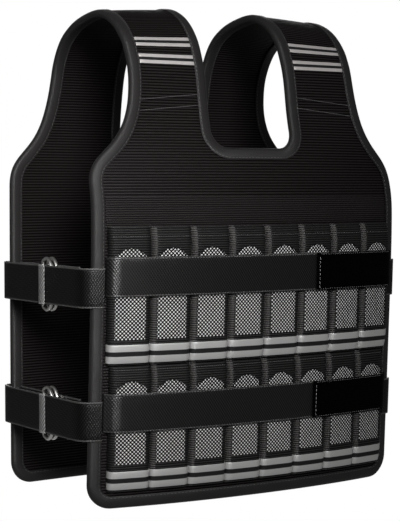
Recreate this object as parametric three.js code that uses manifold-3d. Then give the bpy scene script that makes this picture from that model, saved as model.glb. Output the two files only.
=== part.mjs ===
// A weighted training vest: a padded tabard of two panels joined over the shoulders, its edges
// bound in tape, two rows of loaded pockets across the front, and two belts round the waist.
// Millimetres, +Z up. The wearer faces -Y, so +X is the wearer's left. The origin lies between
// the two shoulder straps, level with their undersides, where the vest sits on the shoulders.
import * as THREE from "three";
import { mergeVertices } from "three/addons/utils/BufferGeometryUtils.js";
import Module from "manifold-3d";

const wasm = await Module();
wasm.setup();

const GAP = 0.3; // air between two pieces that touch

// The tabard: heights above the hem, half-widths from the middle
const BODY = { height: 546, halfDepth: 113.3, cloth: 6 };
const OUTLINE = { half: 205, hemCorner: 27, armholeFrom: 350, armholeTo: 478, strapHalf: 152.5 };
const NECK = { half: 54.4, bottom: 393, corner: 20 };
const SEAM = { height: 441.5, rise: 9.5 }; // the shoulder strap's end, at its outer edge, and its slant
const TAPE = { wall: 1, leg: 9.5, room: 0.5 }; // binding folded over every edge

// The middle of the cloth seen from the side, over the strap, as shares of the half depth and height
const PROFILE = [
  { depth: -0.821, rise: 0.0082 },
  { depth: -0.936, rise: 0.549 },
  { depth: -0.927, rise: 0.614 },
  { depth: -0.878, rise: 0.663 },
  { depth: -0.766, rise: 0.769 },
  { depth: -0.68, rise: 0.875 },
  { depth: -0.622, rise: 0.91 },
  { depth: -0.552, rise: 0.938 },
  { depth: -0.415, rise: 0.969 },
  { depth: -0.256, rise: 0.989 },
  { depth: -0.071, rise: 1 },
  { depth: 0.194, rise: 0.996 },
  { depth: 0.494, rise: 0.979 },
  { depth: 0.702, rise: 0.951 },
  { depth: 0.856, rise: 0.901 },
  { depth: 0.94, rise: 0.833 },
  { depth: 0.984, rise: 0.751 },
  { depth: 1, rise: 0.641 },
  { depth: 1, rise: 0.0082 },
];

// How far a panel bows back towards its sides, where it flattens into straps, and the crest's tilt
const BOW = { front: 19, frontEdge: 3.6, back: -9.8, fadeFrom: 0.66, fadeTo: 0.82 };
const CREST = { fall: 6, from: 0.88, to: 0.98 };

// Two rows of eight loaded pockets: clear is a row's distance from the panel's edge, and arch and sill
// are its windows' top and bottom
const POCKETS = { count: 8, bulge: 9.6, wall: 1.6, squareness: 5 };
const UPPER_ROW = { clear: 16.6, bottom: 158.4, top: 307, arch: 284.6, sill: 186 };
const LOWER_ROW = { clear: 20.4, bottom: 20, top: 157.4, arch: 141, sill: 50.5 };
const ROWS = [
  { name: "upper", half: OUTLINE.half - UPPER_ROW.clear, ...UPPER_ROW },
  { name: "lower", half: OUTLINE.half - LOWER_ROW.clear, ...LOWER_ROW },
];
const ACROSS = [-1, -0.9, -0.6, 0.6, 0.9]; // where a pocket's section is drawn, by half-width
const FULLNESS = [
  { at: 0, full: 0.7 },
  { at: 0.14, full: 1 },
  { at: 0.885, full: 1 },
  { at: 1, full: 0.55 },
];
const WINDOW = { half: 17.2, archRise: 9, pane: 0.7, cut: 40 };
const PACK = { lessHalf: 2.4, lessBottom: 12, lessTop: 16, air: 0.6 };

// Reflective tapes: across the pockets, and on the front of each shoulder
const RIBBON = { thick: 0.6, height: 20.2, air: 0.95, aboveBottom: { upper: 2.2, lower: 2.8 } };
const SHOULDER_TAPE = { thick: 0.6, height: 10, air: 0.6, clear: 1, lower: 485, upper: 503.5 };

// Webbing and rings
const WEB = { thick: 2, front: 42, side: 43 };
const UPPER_BELT = { front: 232.7, side: 219.8 }; // heights of the webbing's lower edge
const LOWER_BELT = { front: 85.8, side: 75.6 };
const BELTS = [{ name: "upper", ...UPPER_BELT }, { name: "lower", ...LOWER_BELT }];
const TAB = { from: 67, thick: 1.4 };
const RUN = { clear: 3.5, corner: 9 }; // the straps' way past the panels' edges
const RING = { wire: 4, overWeb: 7, backBar: 9.5, depth: 22.5, apart: 6.4 };
// Half of a ring's outline, from its straight back bar to its round front, as shares of its size
const RING_SHAPE = [
  { forward: 0, up: 0.84 },
  { forward: 0.14, up: 0.95 },
  { forward: 0.45, up: 1 },
  { forward: 0.75, up: 0.86 },
  { forward: 0.94, up: 0.55 },
  { forward: 1, up: 0.15 },
];
const FOLD = { reach: 3.6, squareness: 0.6 }; // webbing turned round the rings' bars
const TAIL = { front: -58, back: 86 }; // where the straps' turned ends stop

const RUN_SIDE = OUTLINE.half + RUN.clear; // from the middle to the straps' run along the side
const EDGE = BODY.cloth / 2 + TAPE.room + TAPE.wall; // from the cloth's middle to the tape's face
const BINDING = EDGE + TAPE.leg; // how far the tape reaches in from the edge

const profile = new THREE.CatmullRomCurve3(
  PROFILE.map(({ depth, rise }) => new THREE.Vector3(0, depth * BODY.halfDepth, rise * BODY.height)),
  false, "centripetal",
);
profile.arcLengthDivisions = 1200;
const CLOTH = profile.getLength() + 2 * EDGE; // hem to hem, over the shoulder

// A station is a distance along the cloth from the front hem
function profileAt(station) {
  return profile.getPointAt(THREE.MathUtils.clamp((station - EDGE) / (CLOTH - 2 * EDGE), 0, 1));
}

// The station on the front at a height
function stationAt(height) {
  let [low, high] = [EDGE, CLOTH / 2 - 20];
  if (height <= profileAt(low).z) return low + height - profileAt(low).z;
  for (let k = 0; k < 40; k += 1) {
    const middle = (low + high) / 2;
    if (profileAt(middle).z < height) low = middle;
    else high = middle;
  }
  return low;
}

const STRAP_MIDDLE = (OUTLINE.strapHalf + NECK.half) / 2;

// How far back the cloth lies at a distance from the middle, by the bow alone
function bowAt(x, front) {
  const share = Math.abs(x) / OUTLINE.half;
  return front ? BOW.front * share ** 2 + BOW.frontEdge * share ** 4 : BOW.back * share ** 2;
}

// The middle of the cloth at a place on the flat pattern
function clothPoint(x, station) {
  const p = profileAt(station);
  const rise = p.z / BODY.height;
  const fade = 1 - THREE.MathUtils.smoothstep(rise, BOW.fadeFrom, BOW.fadeTo);
  const front = station < CLOTH / 2;
  const bow = fade * (bowAt(x, front) - bowAt(STRAP_MIDDLE, front));
  const tilt = CREST.fall * THREE.MathUtils.smoothstep(rise, CREST.from, CREST.to);
  const aside = (Math.abs(x) - STRAP_MIDDLE) / (OUTLINE.strapHalf - NECK.half);
  return new THREE.Vector3(x, p.y + bow, p.z - tilt * aside);
}

// The outward normal there, from nearby points
function clothNormal(x, station) {
  const step = 0.5;
  const s = THREE.MathUtils.clamp(station, EDGE + step, CLOTH - EDGE - step);
  const across = clothPoint(x + step, s).sub(clothPoint(x - step, s));
  const along = clothPoint(x, s + step).sub(clothPoint(x, s - step));
  return across.cross(along).normalize();
}

const offCloth = (x, station, off) =>
  clothPoint(x, station).addScaledVector(clothNormal(x, station), off);

// The flat pattern's outer edge, from the middle of the hem to the shoulder
function outerEdge() {
  const [from, to] = [stationAt(OUTLINE.armholeFrom), stationAt(OUTLINE.armholeTo)];
  const pull = (to - from) * 0.38;
  const edge = new THREE.Path();
  edge.moveTo(0, 0);
  edge.lineTo(OUTLINE.half - OUTLINE.hemCorner, 0);
  edge.absarc(OUTLINE.half - OUTLINE.hemCorner, OUTLINE.hemCorner, OUTLINE.hemCorner, -Math.PI / 2, 0);
  edge.lineTo(OUTLINE.half, from);
  edge.bezierCurveTo(
    OUTLINE.half, from + pull, OUTLINE.strapHalf + 2, to - 2 * pull, OUTLINE.strapHalf, to,
  );
  edge.lineTo(OUTLINE.strapHalf, CLOTH / 2);
  return edge;
}

// The neck hole's edge, from the middle of its front to the shoulder
function neckEdge() {
  const bottom = stationAt(NECK.bottom);
  const edge = new THREE.Path();
  edge.moveTo(0, bottom);
  edge.lineTo(NECK.half - NECK.corner, bottom);
  edge.absarc(NECK.half - NECK.corner, bottom + NECK.corner, NECK.corner, -Math.PI / 2, 0);
  edge.lineTo(NECK.half, CLOTH / 2);
  return edge;
}

// Points along an edge, each stretch of it cut into steps no longer than a length
function edgePoints(edge, longest) {
  const points = [edge.curves[0].getPoint(0)];
  edge.curves.forEach((curve) => {
    if (curve.getLength() < 1e-6) return;
    const steps = Math.ceil(curve.getLength() / (curve.isLineCurve ? longest.line : longest.curve));
    for (let k = 1; k <= steps; k += 1) points.push(curve.getPoint(k / steps));
  });
  return points;
}

// The same edge moved to the left of its way
function shifted(points, distance) {
  return points.map((p, i) => {
    const before = points[Math.max(i - 1, 0)];
    const way = points[Math.min(i + 1, points.length - 1)].clone().sub(before).normalize();
    return new THREE.Vector2(p.x - way.y * distance, p.y + way.x * distance);
  });
}

// The half-width that an edge gives at a station
function halfAt(points, station) {
  for (let i = 1; i < points.length; i += 1) {
    const [a, b] = [points[i - 1], points[i]];
    if (station <= b.y && b.y > a.y)
      return a.x + (b.x - a.x) * THREE.MathUtils.clamp((station - a.y) / (b.y - a.y), 0, 1);
  }
  return points[points.length - 1].x;
}

const FINE = { line: 6, curve: 3 };
const outerFine = edgePoints(outerEdge(), FINE);
const neckFine = edgePoints(neckEdge(), FINE);

// A closed solid from points and triangles, its faces turned outwards
function solidGeometry(points, triangles) {
  const volume = triangles.reduce(
    (sum, [a, b, c]) => sum + points[a].dot(points[b].clone().cross(points[c])), 0,
  );
  const faces = volume > 0 ? triangles : triangles.map(([a, b, c]) => [a, c, b]);
  const geometry = new THREE.BufferGeometry();
  const numbers = points.flatMap((p) => p.toArray());
  geometry.setAttribute("position", new THREE.Float32BufferAttribute(numbers, 3));
  geometry.setIndex(faces.flat());
  return geometry;
}

// A sheet with thickness over a grid of pattern places; an absent cell is a hole in it
function sheetSolid(rows, outside, inside, present = () => true) {
  const points = [];
  const triangles = [];
  const index = new Map();
  const vertex = (j, i, face) => {
    const key = `${j},${i},${face}`;
    if (!index.has(key)) {
      const { x, y } = rows[j][i];
      index.set(key, points.length);
      points.push(offCloth(x, y, face ? outside(x, y) : inside(x, y)));
    }
    return index.get(key);
  };
  const quad = (a, b, c, d) => triangles.push([a, b, c], [a, c, d]);
  const has = (j, i) =>
    j >= 0 && i >= 0 && j < rows.length - 1 && i < rows[0].length - 1 && present(j, i);
  for (let j = 0; j < rows.length - 1; j += 1) {
    for (let i = 0; i < rows[0].length - 1; i += 1) {
      if (!has(j, i)) continue;
      const corners = [[j, i], [j, i + 1], [j + 1, i + 1], [j + 1, i]];
      const near = corners.map(([r, c]) => vertex(r, c, 1));
      const far = corners.map(([r, c]) => vertex(r, c, 0));
      quad(near[0], near[1], near[2], near[3]);
      quad(far[3], far[2], far[1], far[0]);
      const beside = [[j - 1, i], [j, i + 1], [j + 1, i], [j, i - 1]];
      beside.forEach(([r, c], side) => {
        const next = (side + 1) % 4;
        if (!has(r, c)) quad(far[side], far[next], near[next], near[side]);
      });
    }
  }
  return solidGeometry(points, triangles);
}

// A solid through like rings of points: either the rings close on themselves, or it has two ends
function sweptSolid(rings, closed) {
  const count = rings[0].length;
  const triangles = [];
  const last = closed ? rings.length : rings.length - 1;
  for (let j = 0; j < last; j += 1) {
    const next = (j + 1) % rings.length;
    for (let i = 0; i < count; i += 1) {
      const k = (i + 1) % count;
      const [a, b, c, d] = [j * count + i, j * count + k, next * count + k, next * count + i];
      triangles.push([a, b, c], [a, c, d]);
    }
  }
  const end = (rings.length - 1) * count;
  for (let i = 1; i < count - 1 && !closed; i += 1) {
    triangles.push([0, i + 1, i], [end, end + i, end + i + 1]);
  }
  return solidGeometry(rings.flat(), triangles);
}

// A geometry as a solid that can be joined and cut, and back
function toManifold(geometry) {
  const bare = geometry.clone();
  bare.deleteAttribute("normal");
  bare.deleteAttribute("uv");
  const merged = mergeVertices(bare, 1e-3);
  return new wasm.Manifold(new wasm.Mesh({
    numProp: 3,
    vertProperties: merged.attributes.position.array,
    triVerts: new Uint32Array(merged.index.array),
  }));
}

function fromManifold(solid) {
  const mesh = solid.getMesh();
  const geometry = new THREE.BufferGeometry();
  geometry.setAttribute("position", new THREE.BufferAttribute(mesh.vertProperties, 3));
  geometry.setIndex(new THREE.BufferAttribute(mesh.triVerts, 1));
  return geometry;
}

const finish = (color, roughness, metalness = 0) =>
  new THREE.MeshStandardMaterial({ color, roughness, metalness });
const ribbedCloth = finish(0x17151a, 0.9);
const bindingTape = finish(0x3a3838, 0.85);
const pocketCloth = finish(0x1c1b1c, 0.9);
const packCloth = finish(0x2a2a2c, 0.7);
const windowMesh = finish(0x9a9a9a, 0.6);
const reflective = finish(0xb4b2b2, 0.4);
const webbing = finish(0x141414, 0.8);
const nickel = finish(0xd8d8d8, 0.2, 1);

// Heights are counted from the hem, and the whole hangs from the shoulder rest
const vest = new THREE.Group();
vest.position.z = -(BODY.height - EDGE);

function add(name, geometry, material) {
  const mesh = new THREE.Mesh(geometry, material);
  mesh.name = name;
  vest.add(mesh);
}

// Numbers from one to another, no further apart than a step
function spread(from, to, step) {
  const count = Math.max(1, Math.ceil((to - from) / step));
  return Array.from({ length: count + 1 }, (_, k) => from + ((to - from) * k) / count);
}

const CURVE_STEP = 21; // the longest step along cloth that bends
const SIDE_SHARES = [0, 0.36, 0.7, 0.935, 1];
const STRAP_SHARES = [0, 0.5, 1];

// How far the seam has risen at a distance from the middle
const seamRise = (x) => (SEAM.rise * (OUTLINE.strapHalf - Math.abs(x))) / (OUTLINE.strapHalf - NECK.half);

// A panel's grid from its hem to the shoulder seams; grow makes the room that the binding leaves it
function panelRows(grow) {
  const edge = EDGE + GAP - grow;
  const outer = shifted(outerFine, edge);
  const inner = shifted(neckFine, -edge);
  const neckline = inner[0].y;
  const seam = stationAt(SEAM.height) - GAP / 2 + grow;
  const stations = [
    ...[0, 0.12, 0.45, 1].map((share) => edge + share * OUTLINE.hemCorner),
    stationAt(OUTLINE.armholeFrom * 0.4),
    ...spread(stationAt(OUTLINE.armholeFrom * 0.86), stationAt(OUTLINE.armholeFrom), CURVE_STEP * 2),
    ...spread(stationAt(OUTLINE.armholeFrom), neckline, CURVE_STEP).slice(1),
    ...[0.06, 0.3, 0.65].map((share) => neckline + share * NECK.corner),
    ...spread(neckline + NECK.corner, seam, CURVE_STEP),
  ];
  const rows = stations.map((station) => {
    const rising = THREE.MathUtils.clamp((station - neckline) / (seam - neckline), 0, 1);
    const near = station <= neckline ? NECK.half - NECK.corner : halfAt(inner, station);
    const far = halfAt(outer, Math.max(station, outer[0].y + 1e-6));
    const right = SIDE_SHARES.map((share) => {
      const x = near + (far - near) * share;
      return new THREE.Vector2(x, station + rising * seamRise(x));
    });
    const left = right.map((p) => new THREE.Vector2(-p.x, p.y)).reverse();
    return [...left, new THREE.Vector2(0, station), ...right];
  });
  const side = SIDE_SHARES.length - 1;
  const neckRow = stations.indexOf(neckline);
  const present = (j, i) => j < neckRow || i < side || i > side + 1;
  return { rows, present, neckRow };
}

const toBack = (rows) => rows.map((row) => row.map((p) => new THREE.Vector2(-p.x, CLOTH - p.y)));

// A shoulder strap's grid from the front seam over the shoulder to the back one
function strapRows(side, grow) {
  const edge = EDGE + GAP - grow;
  const outer = shifted(outerFine, edge);
  const inner = shifted(neckFine, -edge);
  const from = stationAt(SEAM.height) + GAP / 2 - grow;
  return spread(from, CLOTH - from, CURVE_STEP).map((station) => {
    const mirrored = Math.min(station, CLOTH - station);
    const slant = (2 * (CLOTH / 2 - station)) / (CLOTH - 2 * from);
    const [near, far] = [halfAt(inner, mirrored), halfAt(outer, mirrored)];
    const row = STRAP_SHARES.map((share) => {
      const x = near + (far - near) * share;
      return new THREE.Vector2(side * x, station + slant * seamRise(x));
    });
    return side > 0 ? row : row.reverse();
  });
}

// The four pieces of cloth
function clothSolids() {
  const half = BODY.cloth / 2;
  const panel = panelRows(0);
  const sheet = (rows, present) => sheetSolid(rows, () => half, () => -half, present);
  return {
    front_panel: sheet(panel.rows, panel.present),
    back_panel: sheet(toBack(panel.rows), panel.present),
    shoulder_strap_left: sheet(strapRows(1, 0)),
    shoulder_strap_right: sheet(strapRows(-1, 0)),
  };
}

Object.entries(clothSolids()).forEach(([name, geometry]) => add(name, geometry, ribbedCloth));

// A closed line from its right side, which runs from the front's middle to the back's
function closedLine(panelEdge, strapEdge) {
  const back = panelEdge.map((p) => new THREE.Vector2(p.x, CLOTH - p.y)).reverse();
  const right = [...panelEdge, ...strapEdge.slice(1, -1), ...back];
  const left = right.slice(1, -1).reverse().map((p) => new THREE.Vector2(-p.x, p.y));
  return [...right, ...left];
}

// Tape folded over the cloth's edge: a C-shaped section carried round a closed line on the pattern
function bindingGeometry(line, inward) {
  const inner = EDGE - TAPE.wall;
  const rings = line.map((p, i) => {
    const before = line[(i + line.length - 1) % line.length];
    const way = line[(i + 1) % line.length].clone().sub(before).normalize();
    const into = new THREE.Vector2(-way.y, way.x).multiplyScalar(inward);
    const at = (depth, off) => offCloth(p.x + into.x * depth, p.y + into.y * depth, off);
    const heart = at(0, 0);
    const out = heart.clone().sub(at(1, 0)).normalize();
    const up = at(0, 1).sub(heart);
    const nose = (reach, off) => heart.clone().addScaledVector(out, reach).addScaledVector(up, off);
    return [
      at(TAPE.leg, EDGE), nose(EDGE * 0.3, EDGE), nose(EDGE, 0), nose(EDGE * 0.3, -EDGE),
      at(TAPE.leg, -EDGE), at(TAPE.leg, -inner), nose(0, -inner), nose(0, inner),
      at(TAPE.leg, inner),
    ];
  });
  return sweptSolid(rings, true);
}

// The lines on which the tape's folds lie, a gap outside the cloth's own edges
const hearts = panelRows(GAP);
const strapHearts = strapRows(1, GAP);
const centre = SIDE_SHARES.length;
const hemEdge = [...hearts.rows[0].slice(centre), ...hearts.rows.slice(1).map((row) => row[2 * centre])];
const outerLine = closedLine(hemEdge, strapHearts.map((row) => row.at(-1)));
add("outer_binding", bindingGeometry(outerLine, 1), bindingTape);
const rimEdge = hearts.rows.slice(hearts.neckRow).map((row) => row[centre + 1]);
rimEdge.unshift(hearts.rows[hearts.neckRow][centre]);
const neckLine = closedLine(rimEdge, strapHearts.map((row) => row[0]));
add("neck_binding", bindingGeometry(neckLine, -1), bindingTape);

const ON_CLOTH = BODY.cloth / 2 + GAP; // where a piece sewn on the cloth begins

// How full a pocket is at a share of its height
function fullnessAt(share) {
  const upper = Math.max(1, FULLNESS.findIndex(({ at }) => at >= share));
  const [a, b] = [FULLNESS[upper - 1], FULLNESS[upper]];
  return a.full + ((b.full - a.full) * (share - a.at)) / (b.at - a.at);
}

// How far the pocket cloth stands off the panel
function reliefAt(row, x, station) {
  const width = (2 * row.half) / POCKETS.count;
  const fromLeft = (x + row.half) / width;
  const share = Math.min(1, Math.abs(2 * (fromLeft - Math.floor(fromLeft + 1e-6)) - 1));
  const section = Math.sqrt(1 - share ** POCKETS.squareness);
  const [bottom, top] = [stationAt(row.bottom), stationAt(row.top)];
  const up = THREE.MathUtils.clamp((station - bottom) / (top - bottom), 0, 1);
  return POCKETS.bulge * section * fullnessAt(up);
}

const pocketMiddle = (row, k) => -row.half + ((2 * k + 1) * row.half) / POCKETS.count;

// A grid over some of a row's pockets, from one station to another
function pocketRows(row, first, last, from, to) {
  const [bottom, top] = [stationAt(row.bottom), stationAt(row.top)];
  const halfWidth = row.half / POCKETS.count;
  const columns = [];
  for (let k = first; k <= last; k += 1)
    ACROSS.forEach((share) => columns.push(pocketMiddle(row, k) + share * halfWidth));
  columns.push(pocketMiddle(row, last) + halfWidth);
  const between = FULLNESS.map(({ at }) => bottom + at * (top - bottom))
    .filter((station) => station > from + 0.5 && station < to - 0.5);
  return [from, ...between, to].map((station) => columns.map((x) => new THREE.Vector2(x, station)));
}

// A sheet that follows the pockets at a height above the cloth under them
function overPockets(row, grid, above, thick) {
  const surface = (extra) => (x, station) => ON_CLOTH + reliefAt(row, x, station) + extra;
  return sheetSolid(grid, surface(above + thick), surface(above));
}

// An arched window's prism, standing square on the panel at a pocket's middle
function windowPrism(row, k, less) {
  const [sill, arch] = [row.sill + less, row.arch - less];
  const half = WINDOW.half - less;
  const rise = WINDOW.archRise;
  const radius = (half ** 2 + rise ** 2) / (2 * rise);
  const angle = Math.asin(half / radius);
  const shape = new THREE.Shape();
  shape.moveTo(-half, 0);
  shape.lineTo(half, 0);
  shape.lineTo(half, arch - sill - rise);
  shape.absarc(0, arch - sill - radius, radius, Math.PI / 2 - angle, Math.PI / 2 + angle);
  const prism = new THREE.ExtrudeGeometry(shape, {
    depth: WINDOW.cut, bevelEnabled: false, curveSegments: 4,
  });
  const station = stationAt((sill + arch) / 2);
  const x = pocketMiddle(row, k);
  const out = clothNormal(x, station);
  const across = clothPoint(x + 1, station).sub(clothPoint(x - 1, station)).normalize();
  const up = out.clone().cross(across).normalize();
  const base = offCloth(x, station, ON_CLOTH + POCKETS.bulge / 3).addScaledVector(up, (sill - arch) / 2);
  prism.applyMatrix4(new THREE.Matrix4().makeBasis(across, up, out).setPosition(base));
  return toManifold(prism);
}

ROWS.forEach((row) => {
  const [bottom, top] = [stationAt(row.bottom), stationAt(row.top)];
  const all = pocketRows(row, 0, POCKETS.count - 1, bottom, top);
  let strip = toManifold(overPockets(row, all, 0, POCKETS.wall));
  for (let k = 0; k < POCKETS.count; k += 1) {
    const label = `${row.name}_${k + 1}`;
    strip = strip.subtract(windowPrism(row, k, 0));
    const one = pocketRows(row, k, k, bottom, top);
    const layer = toManifold(overPockets(row, one, GAP, WINDOW.pane));
    add(`mesh_window_${label}`, fromManifold(layer.intersect(windowPrism(row, k, GAP))), windowMesh);
    const half = row.half / POCKETS.count - PACK.lessHalf;
    const middle = pocketMiddle(row, k);
    const shares = [-1, -0.75, 0, 0.75, 1];
    const [from, to] = [stationAt(row.bottom + PACK.lessBottom), stationAt(row.top - PACK.lessTop)];
    const grid = [from, to].map((s) => shares.map((share) => new THREE.Vector2(middle + share * half, s)));
    const full = (x, station) => ON_CLOTH + reliefAt(row, x, station) * 0.94 - PACK.air;
    add(`weight_pack_${label}`, sheetSolid(grid, full, () => ON_CLOTH), packCloth);
  }
  add(`pocket_strip_${row.name}`, fromManifold(strip), pocketCloth);
  const hem = stationAt(row.bottom + RIBBON.aboveBottom[row.name]);
  const ribbonRows = pocketRows(row, 0, POCKETS.count - 1, hem, hem + RIBBON.height);
  const ribbon = overPockets(row, ribbonRows, POCKETS.wall + RIBBON.air, RIBBON.thick);
  add(`pocket_ribbon_${row.name}`, ribbon, reflective);
});

// Two tapes on the front of each shoulder, between the bindings
[["left", 1], ["right", -1]].forEach(([side, sign]) => {
  ["lower", "upper"].forEach((level) => {
    const inner = NECK.half + BINDING + SHOULDER_TAPE.clear;
    const outer = OUTLINE.strapHalf - BINDING - SHOULDER_TAPE.clear;
    const station = stationAt(SHOULDER_TAPE[level]);
    const columns = [inner, (inner + outer) / 2, outer].map((x) => sign * x).sort((a, b) => a - b);
    const rows = spread(station, station + SHOULDER_TAPE.height, CURVE_STEP / 3)
      .map((s) => columns.map((x) => new THREE.Vector2(x, s)));
    const low = BODY.cloth / 2 + SHOULDER_TAPE.air;
    const tape = sheetSolid(rows, () => low + SHOULDER_TAPE.thick, () => low);
    add(`shoulder_tape_${side}_${level}`, tape, reflective);
  });
});

// A band of webbing on the front: straight across the pockets, and down over the last one's shoulder
const OVER_POCKETS = ON_CLOTH + POCKETS.bulge + POCKETS.wall + GAP;
const BAND_HALF = ROWS[0].half + GAP + WEB.thick;

function bandSolid(row, from, above, thick, bottom) {
  const pocketHalf = row.half / POCKETS.count;
  const [inner, outer] = ACROSS.slice(-2);
  const shoulder = POCKETS.bulge * Math.sqrt(1 - outer ** POCKETS.squareness);
  const ends = [
    { x: row.half - pocketHalf * (1 - inner), off: OVER_POCKETS },
    { x: row.half - pocketHalf * (1 - outer), off: OVER_POCKETS + shoulder - POCKETS.bulge + GAP },
    { x: BAND_HALF, off: EDGE + GAP },
  ];
  const under = (x) => {
    const k = Math.max(1, ends.findIndex((end) => end.x >= Math.abs(x) - 1e-6));
    const share = THREE.MathUtils.clamp((Math.abs(x) - ends[k - 1].x) / (ends[k].x - ends[k - 1].x), 0, 1);
    return above + ends[k - 1].off + (ends[k].off - ends[k - 1].off) * share;
  };
  const flatFrom = from < 0 ? -ends[0].x : from;
  const columns = spread(flatFrom, ends[0].x, pocketHalf * 2);
  columns.push(ends[1].x, ends[2].x);
  if (from < 0) columns.unshift(-ends[2].x, -ends[1].x);
  const rows = [stationAt(bottom), stationAt(bottom + WEB.front)]
    .map((s) => columns.map((x) => new THREE.Vector2(x, s)));
  return sheetSolid(rows, (x) => under(x) + thick, under);
}

// Webbing on edge: pathAt gives its way in plan at a height, and it keeps its thickness along it
function strapSolid(pathAt, bottom, height, thick) {
  const sides = [bottom, bottom + height].map((z) => {
    const path = pathAt(z);
    return path.map((p, i) => {
      const before = path[Math.max(i - 1, 0)];
      const after = path[Math.min(i + 1, path.length - 1)];
      const a = p.clone().sub(before).normalize();
      const b = after.clone().sub(p).normalize();
      const way = a.clone().add(b).normalize();
      const bend = Math.max(a.lengthSq(), b.lengthSq()) * (i > 0 && i < path.length - 1 ? way.dot(a) : 1);
      const reach = thick / 2 / bend;
      return [-1, 1].map((s) => new THREE.Vector3(p.x - s * way.y * reach, p.y + s * way.x * reach, z));
    });
  });
  const rings = sides[0].map((low, i) => [low[0], low[1], sides[1][i][1], sides[1][i][0]]);
  return sweptSolid(rings, false);
}

const OVER_BINDING = EDGE + GAP + WEB.thick / 2;
const inPlan = ({ x, y }) => new THREE.Vector2(x, y);

// The way round a panel's edge on one side, from the panel to the side run; runX is the run's place
function roundEdge(side, z, front, from, runX) {
  const station = front ? stationAt(z) : CLOTH - stationAt(z);
  const turn = front ? 1 : -1;
  const on = [from, OUTLINE.half - 2].map((x) => inPlan(offCloth(side * x, station, OVER_BINDING)));
  const corner = on[1];
  return [
    ...on,
    new THREE.Vector2(side * (runX - 2), corner.y + turn * RUN.corner * 0.35),
    new THREE.Vector2(side * runX, corner.y + turn * RUN.corner),
  ];
}

const TURN = RING.apart / 2 + RING.wire / 2 + GAP + WEB.thick / 2; // half a fold's width

// A fold from the outer run to the inner one, square enough to clear both rings' bars
function foldAt(y, turn, tail) {
  const arc = [0, 1, 2, 3, 4, 5, 6, 7, 8].map((k) => {
    const angle = (Math.PI * k) / 8;
    const [cosine, sine] = [Math.cos(angle), Math.sin(angle)];
    const aside = Math.sign(cosine) * Math.abs(cosine) ** FOLD.squareness;
    return new THREE.Vector2(
      -RUN_SIDE - TURN * aside, y + turn * FOLD.reach * Math.max(0, sine) ** FOLD.squareness,
    );
  });
  return [...arc, new THREE.Vector2(-RUN_SIDE + TURN, tail)];
}

// A ring of round wire standing on edge, flat at the back and round at the front
function ringGeometry(x, middle) {
  const half = WEB.side / 2 + RING.overWeb;
  const place = ({ forward, up }, sign) =>
    new THREE.Vector3(x, RING.backBar - forward * RING.depth, middle + sign * up * half);
  const lower = RING_SHAPE.map((point) => place(point, -1)).reverse();
  const outline = [...RING_SHAPE.map((point) => place(point, 1)), ...lower];
  const aside = new THREE.Vector3(1, 0, 0);
  const rings = outline.map((heart, i) => {
    const before = outline[(i + outline.length - 1) % outline.length];
    const way = outline[(i + 1) % outline.length].clone().sub(before).normalize();
    const out = way.clone().cross(aside);
    return [0, 1, 2, 3, 4, 5].map((side) => {
      const angle = (side * Math.PI) / 3;
      return heart.clone().addScaledVector(out, (RING.wire / 2) * Math.cos(angle))
        .addScaledVector(aside, (RING.wire / 2) * Math.sin(angle));
    });
  });
  return sweptSolid(rings, true);
}

BELTS.forEach(({ name, front, side }, k) => {
  add(`front_belt_${name}`, bandSolid(ROWS[k], -1, 0, WEB.thick, front), webbing);
  add(`closure_tab_${name}`, bandSolid(ROWS[k], TAB.from, WEB.thick + GAP, TAB.thick, front), webbing);

  const start = BAND_HALF + GAP;
  const outerRun = RUN_SIDE + TURN;
  const frontFold = RING.backBar - 2 * FOLD.reach - WEB.thick - GAP;
  const sideStrap = (z) => [
    ...roundEdge(-1, z, true, start, outerRun), ...foldAt(frontFold, 1, TAIL.front),
  ];
  add(`side_strap_${name}`, strapSolid(sideStrap, side, WEB.side, WEB.thick), webbing);

  const rearBelt = (z) => {
    const station = CLOTH - stationAt(z);
    const across = spread(-OUTLINE.half + 2, OUTLINE.half - 2, OUTLINE.half / 4).slice(1, -1)
      .map((x) => inPlan(offCloth(x, station, OVER_BINDING)));
    return [
      ...foldAt(RING.backBar, -1, TAIL.back).reverse(),
      ...roundEdge(-1, z, false, OUTLINE.half - 4, outerRun).reverse().slice(0, -1),
      ...across,
      ...roundEdge(1, z, false, OUTLINE.half - 4, RUN_SIDE).slice(1),
      ...roundEdge(1, z, true, start, RUN_SIDE).reverse(),
    ];
  };
  add(`rear_belt_${name}`, strapSolid(rearBelt, side, WEB.side, WEB.thick), webbing);

  [["outer", -1], ["inner", 1]].forEach(([place, sign]) => {
    const x = -RUN_SIDE + (sign * RING.apart) / 2;
    add(`ring_${name}_${place}`, ringGeometry(x, side + WEB.side / 2), nickel);
  });
});

export default vest;
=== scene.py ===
# A weighted training vest in the form that it has when worn, dressed piece by piece over its solids.
# Metres. The wearer faces -Y, +X is the wearer's left, and the origin is where the shoulders carry it.
import math

import bpy
import numpy as np
from mathutils import Matrix, Vector


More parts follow.
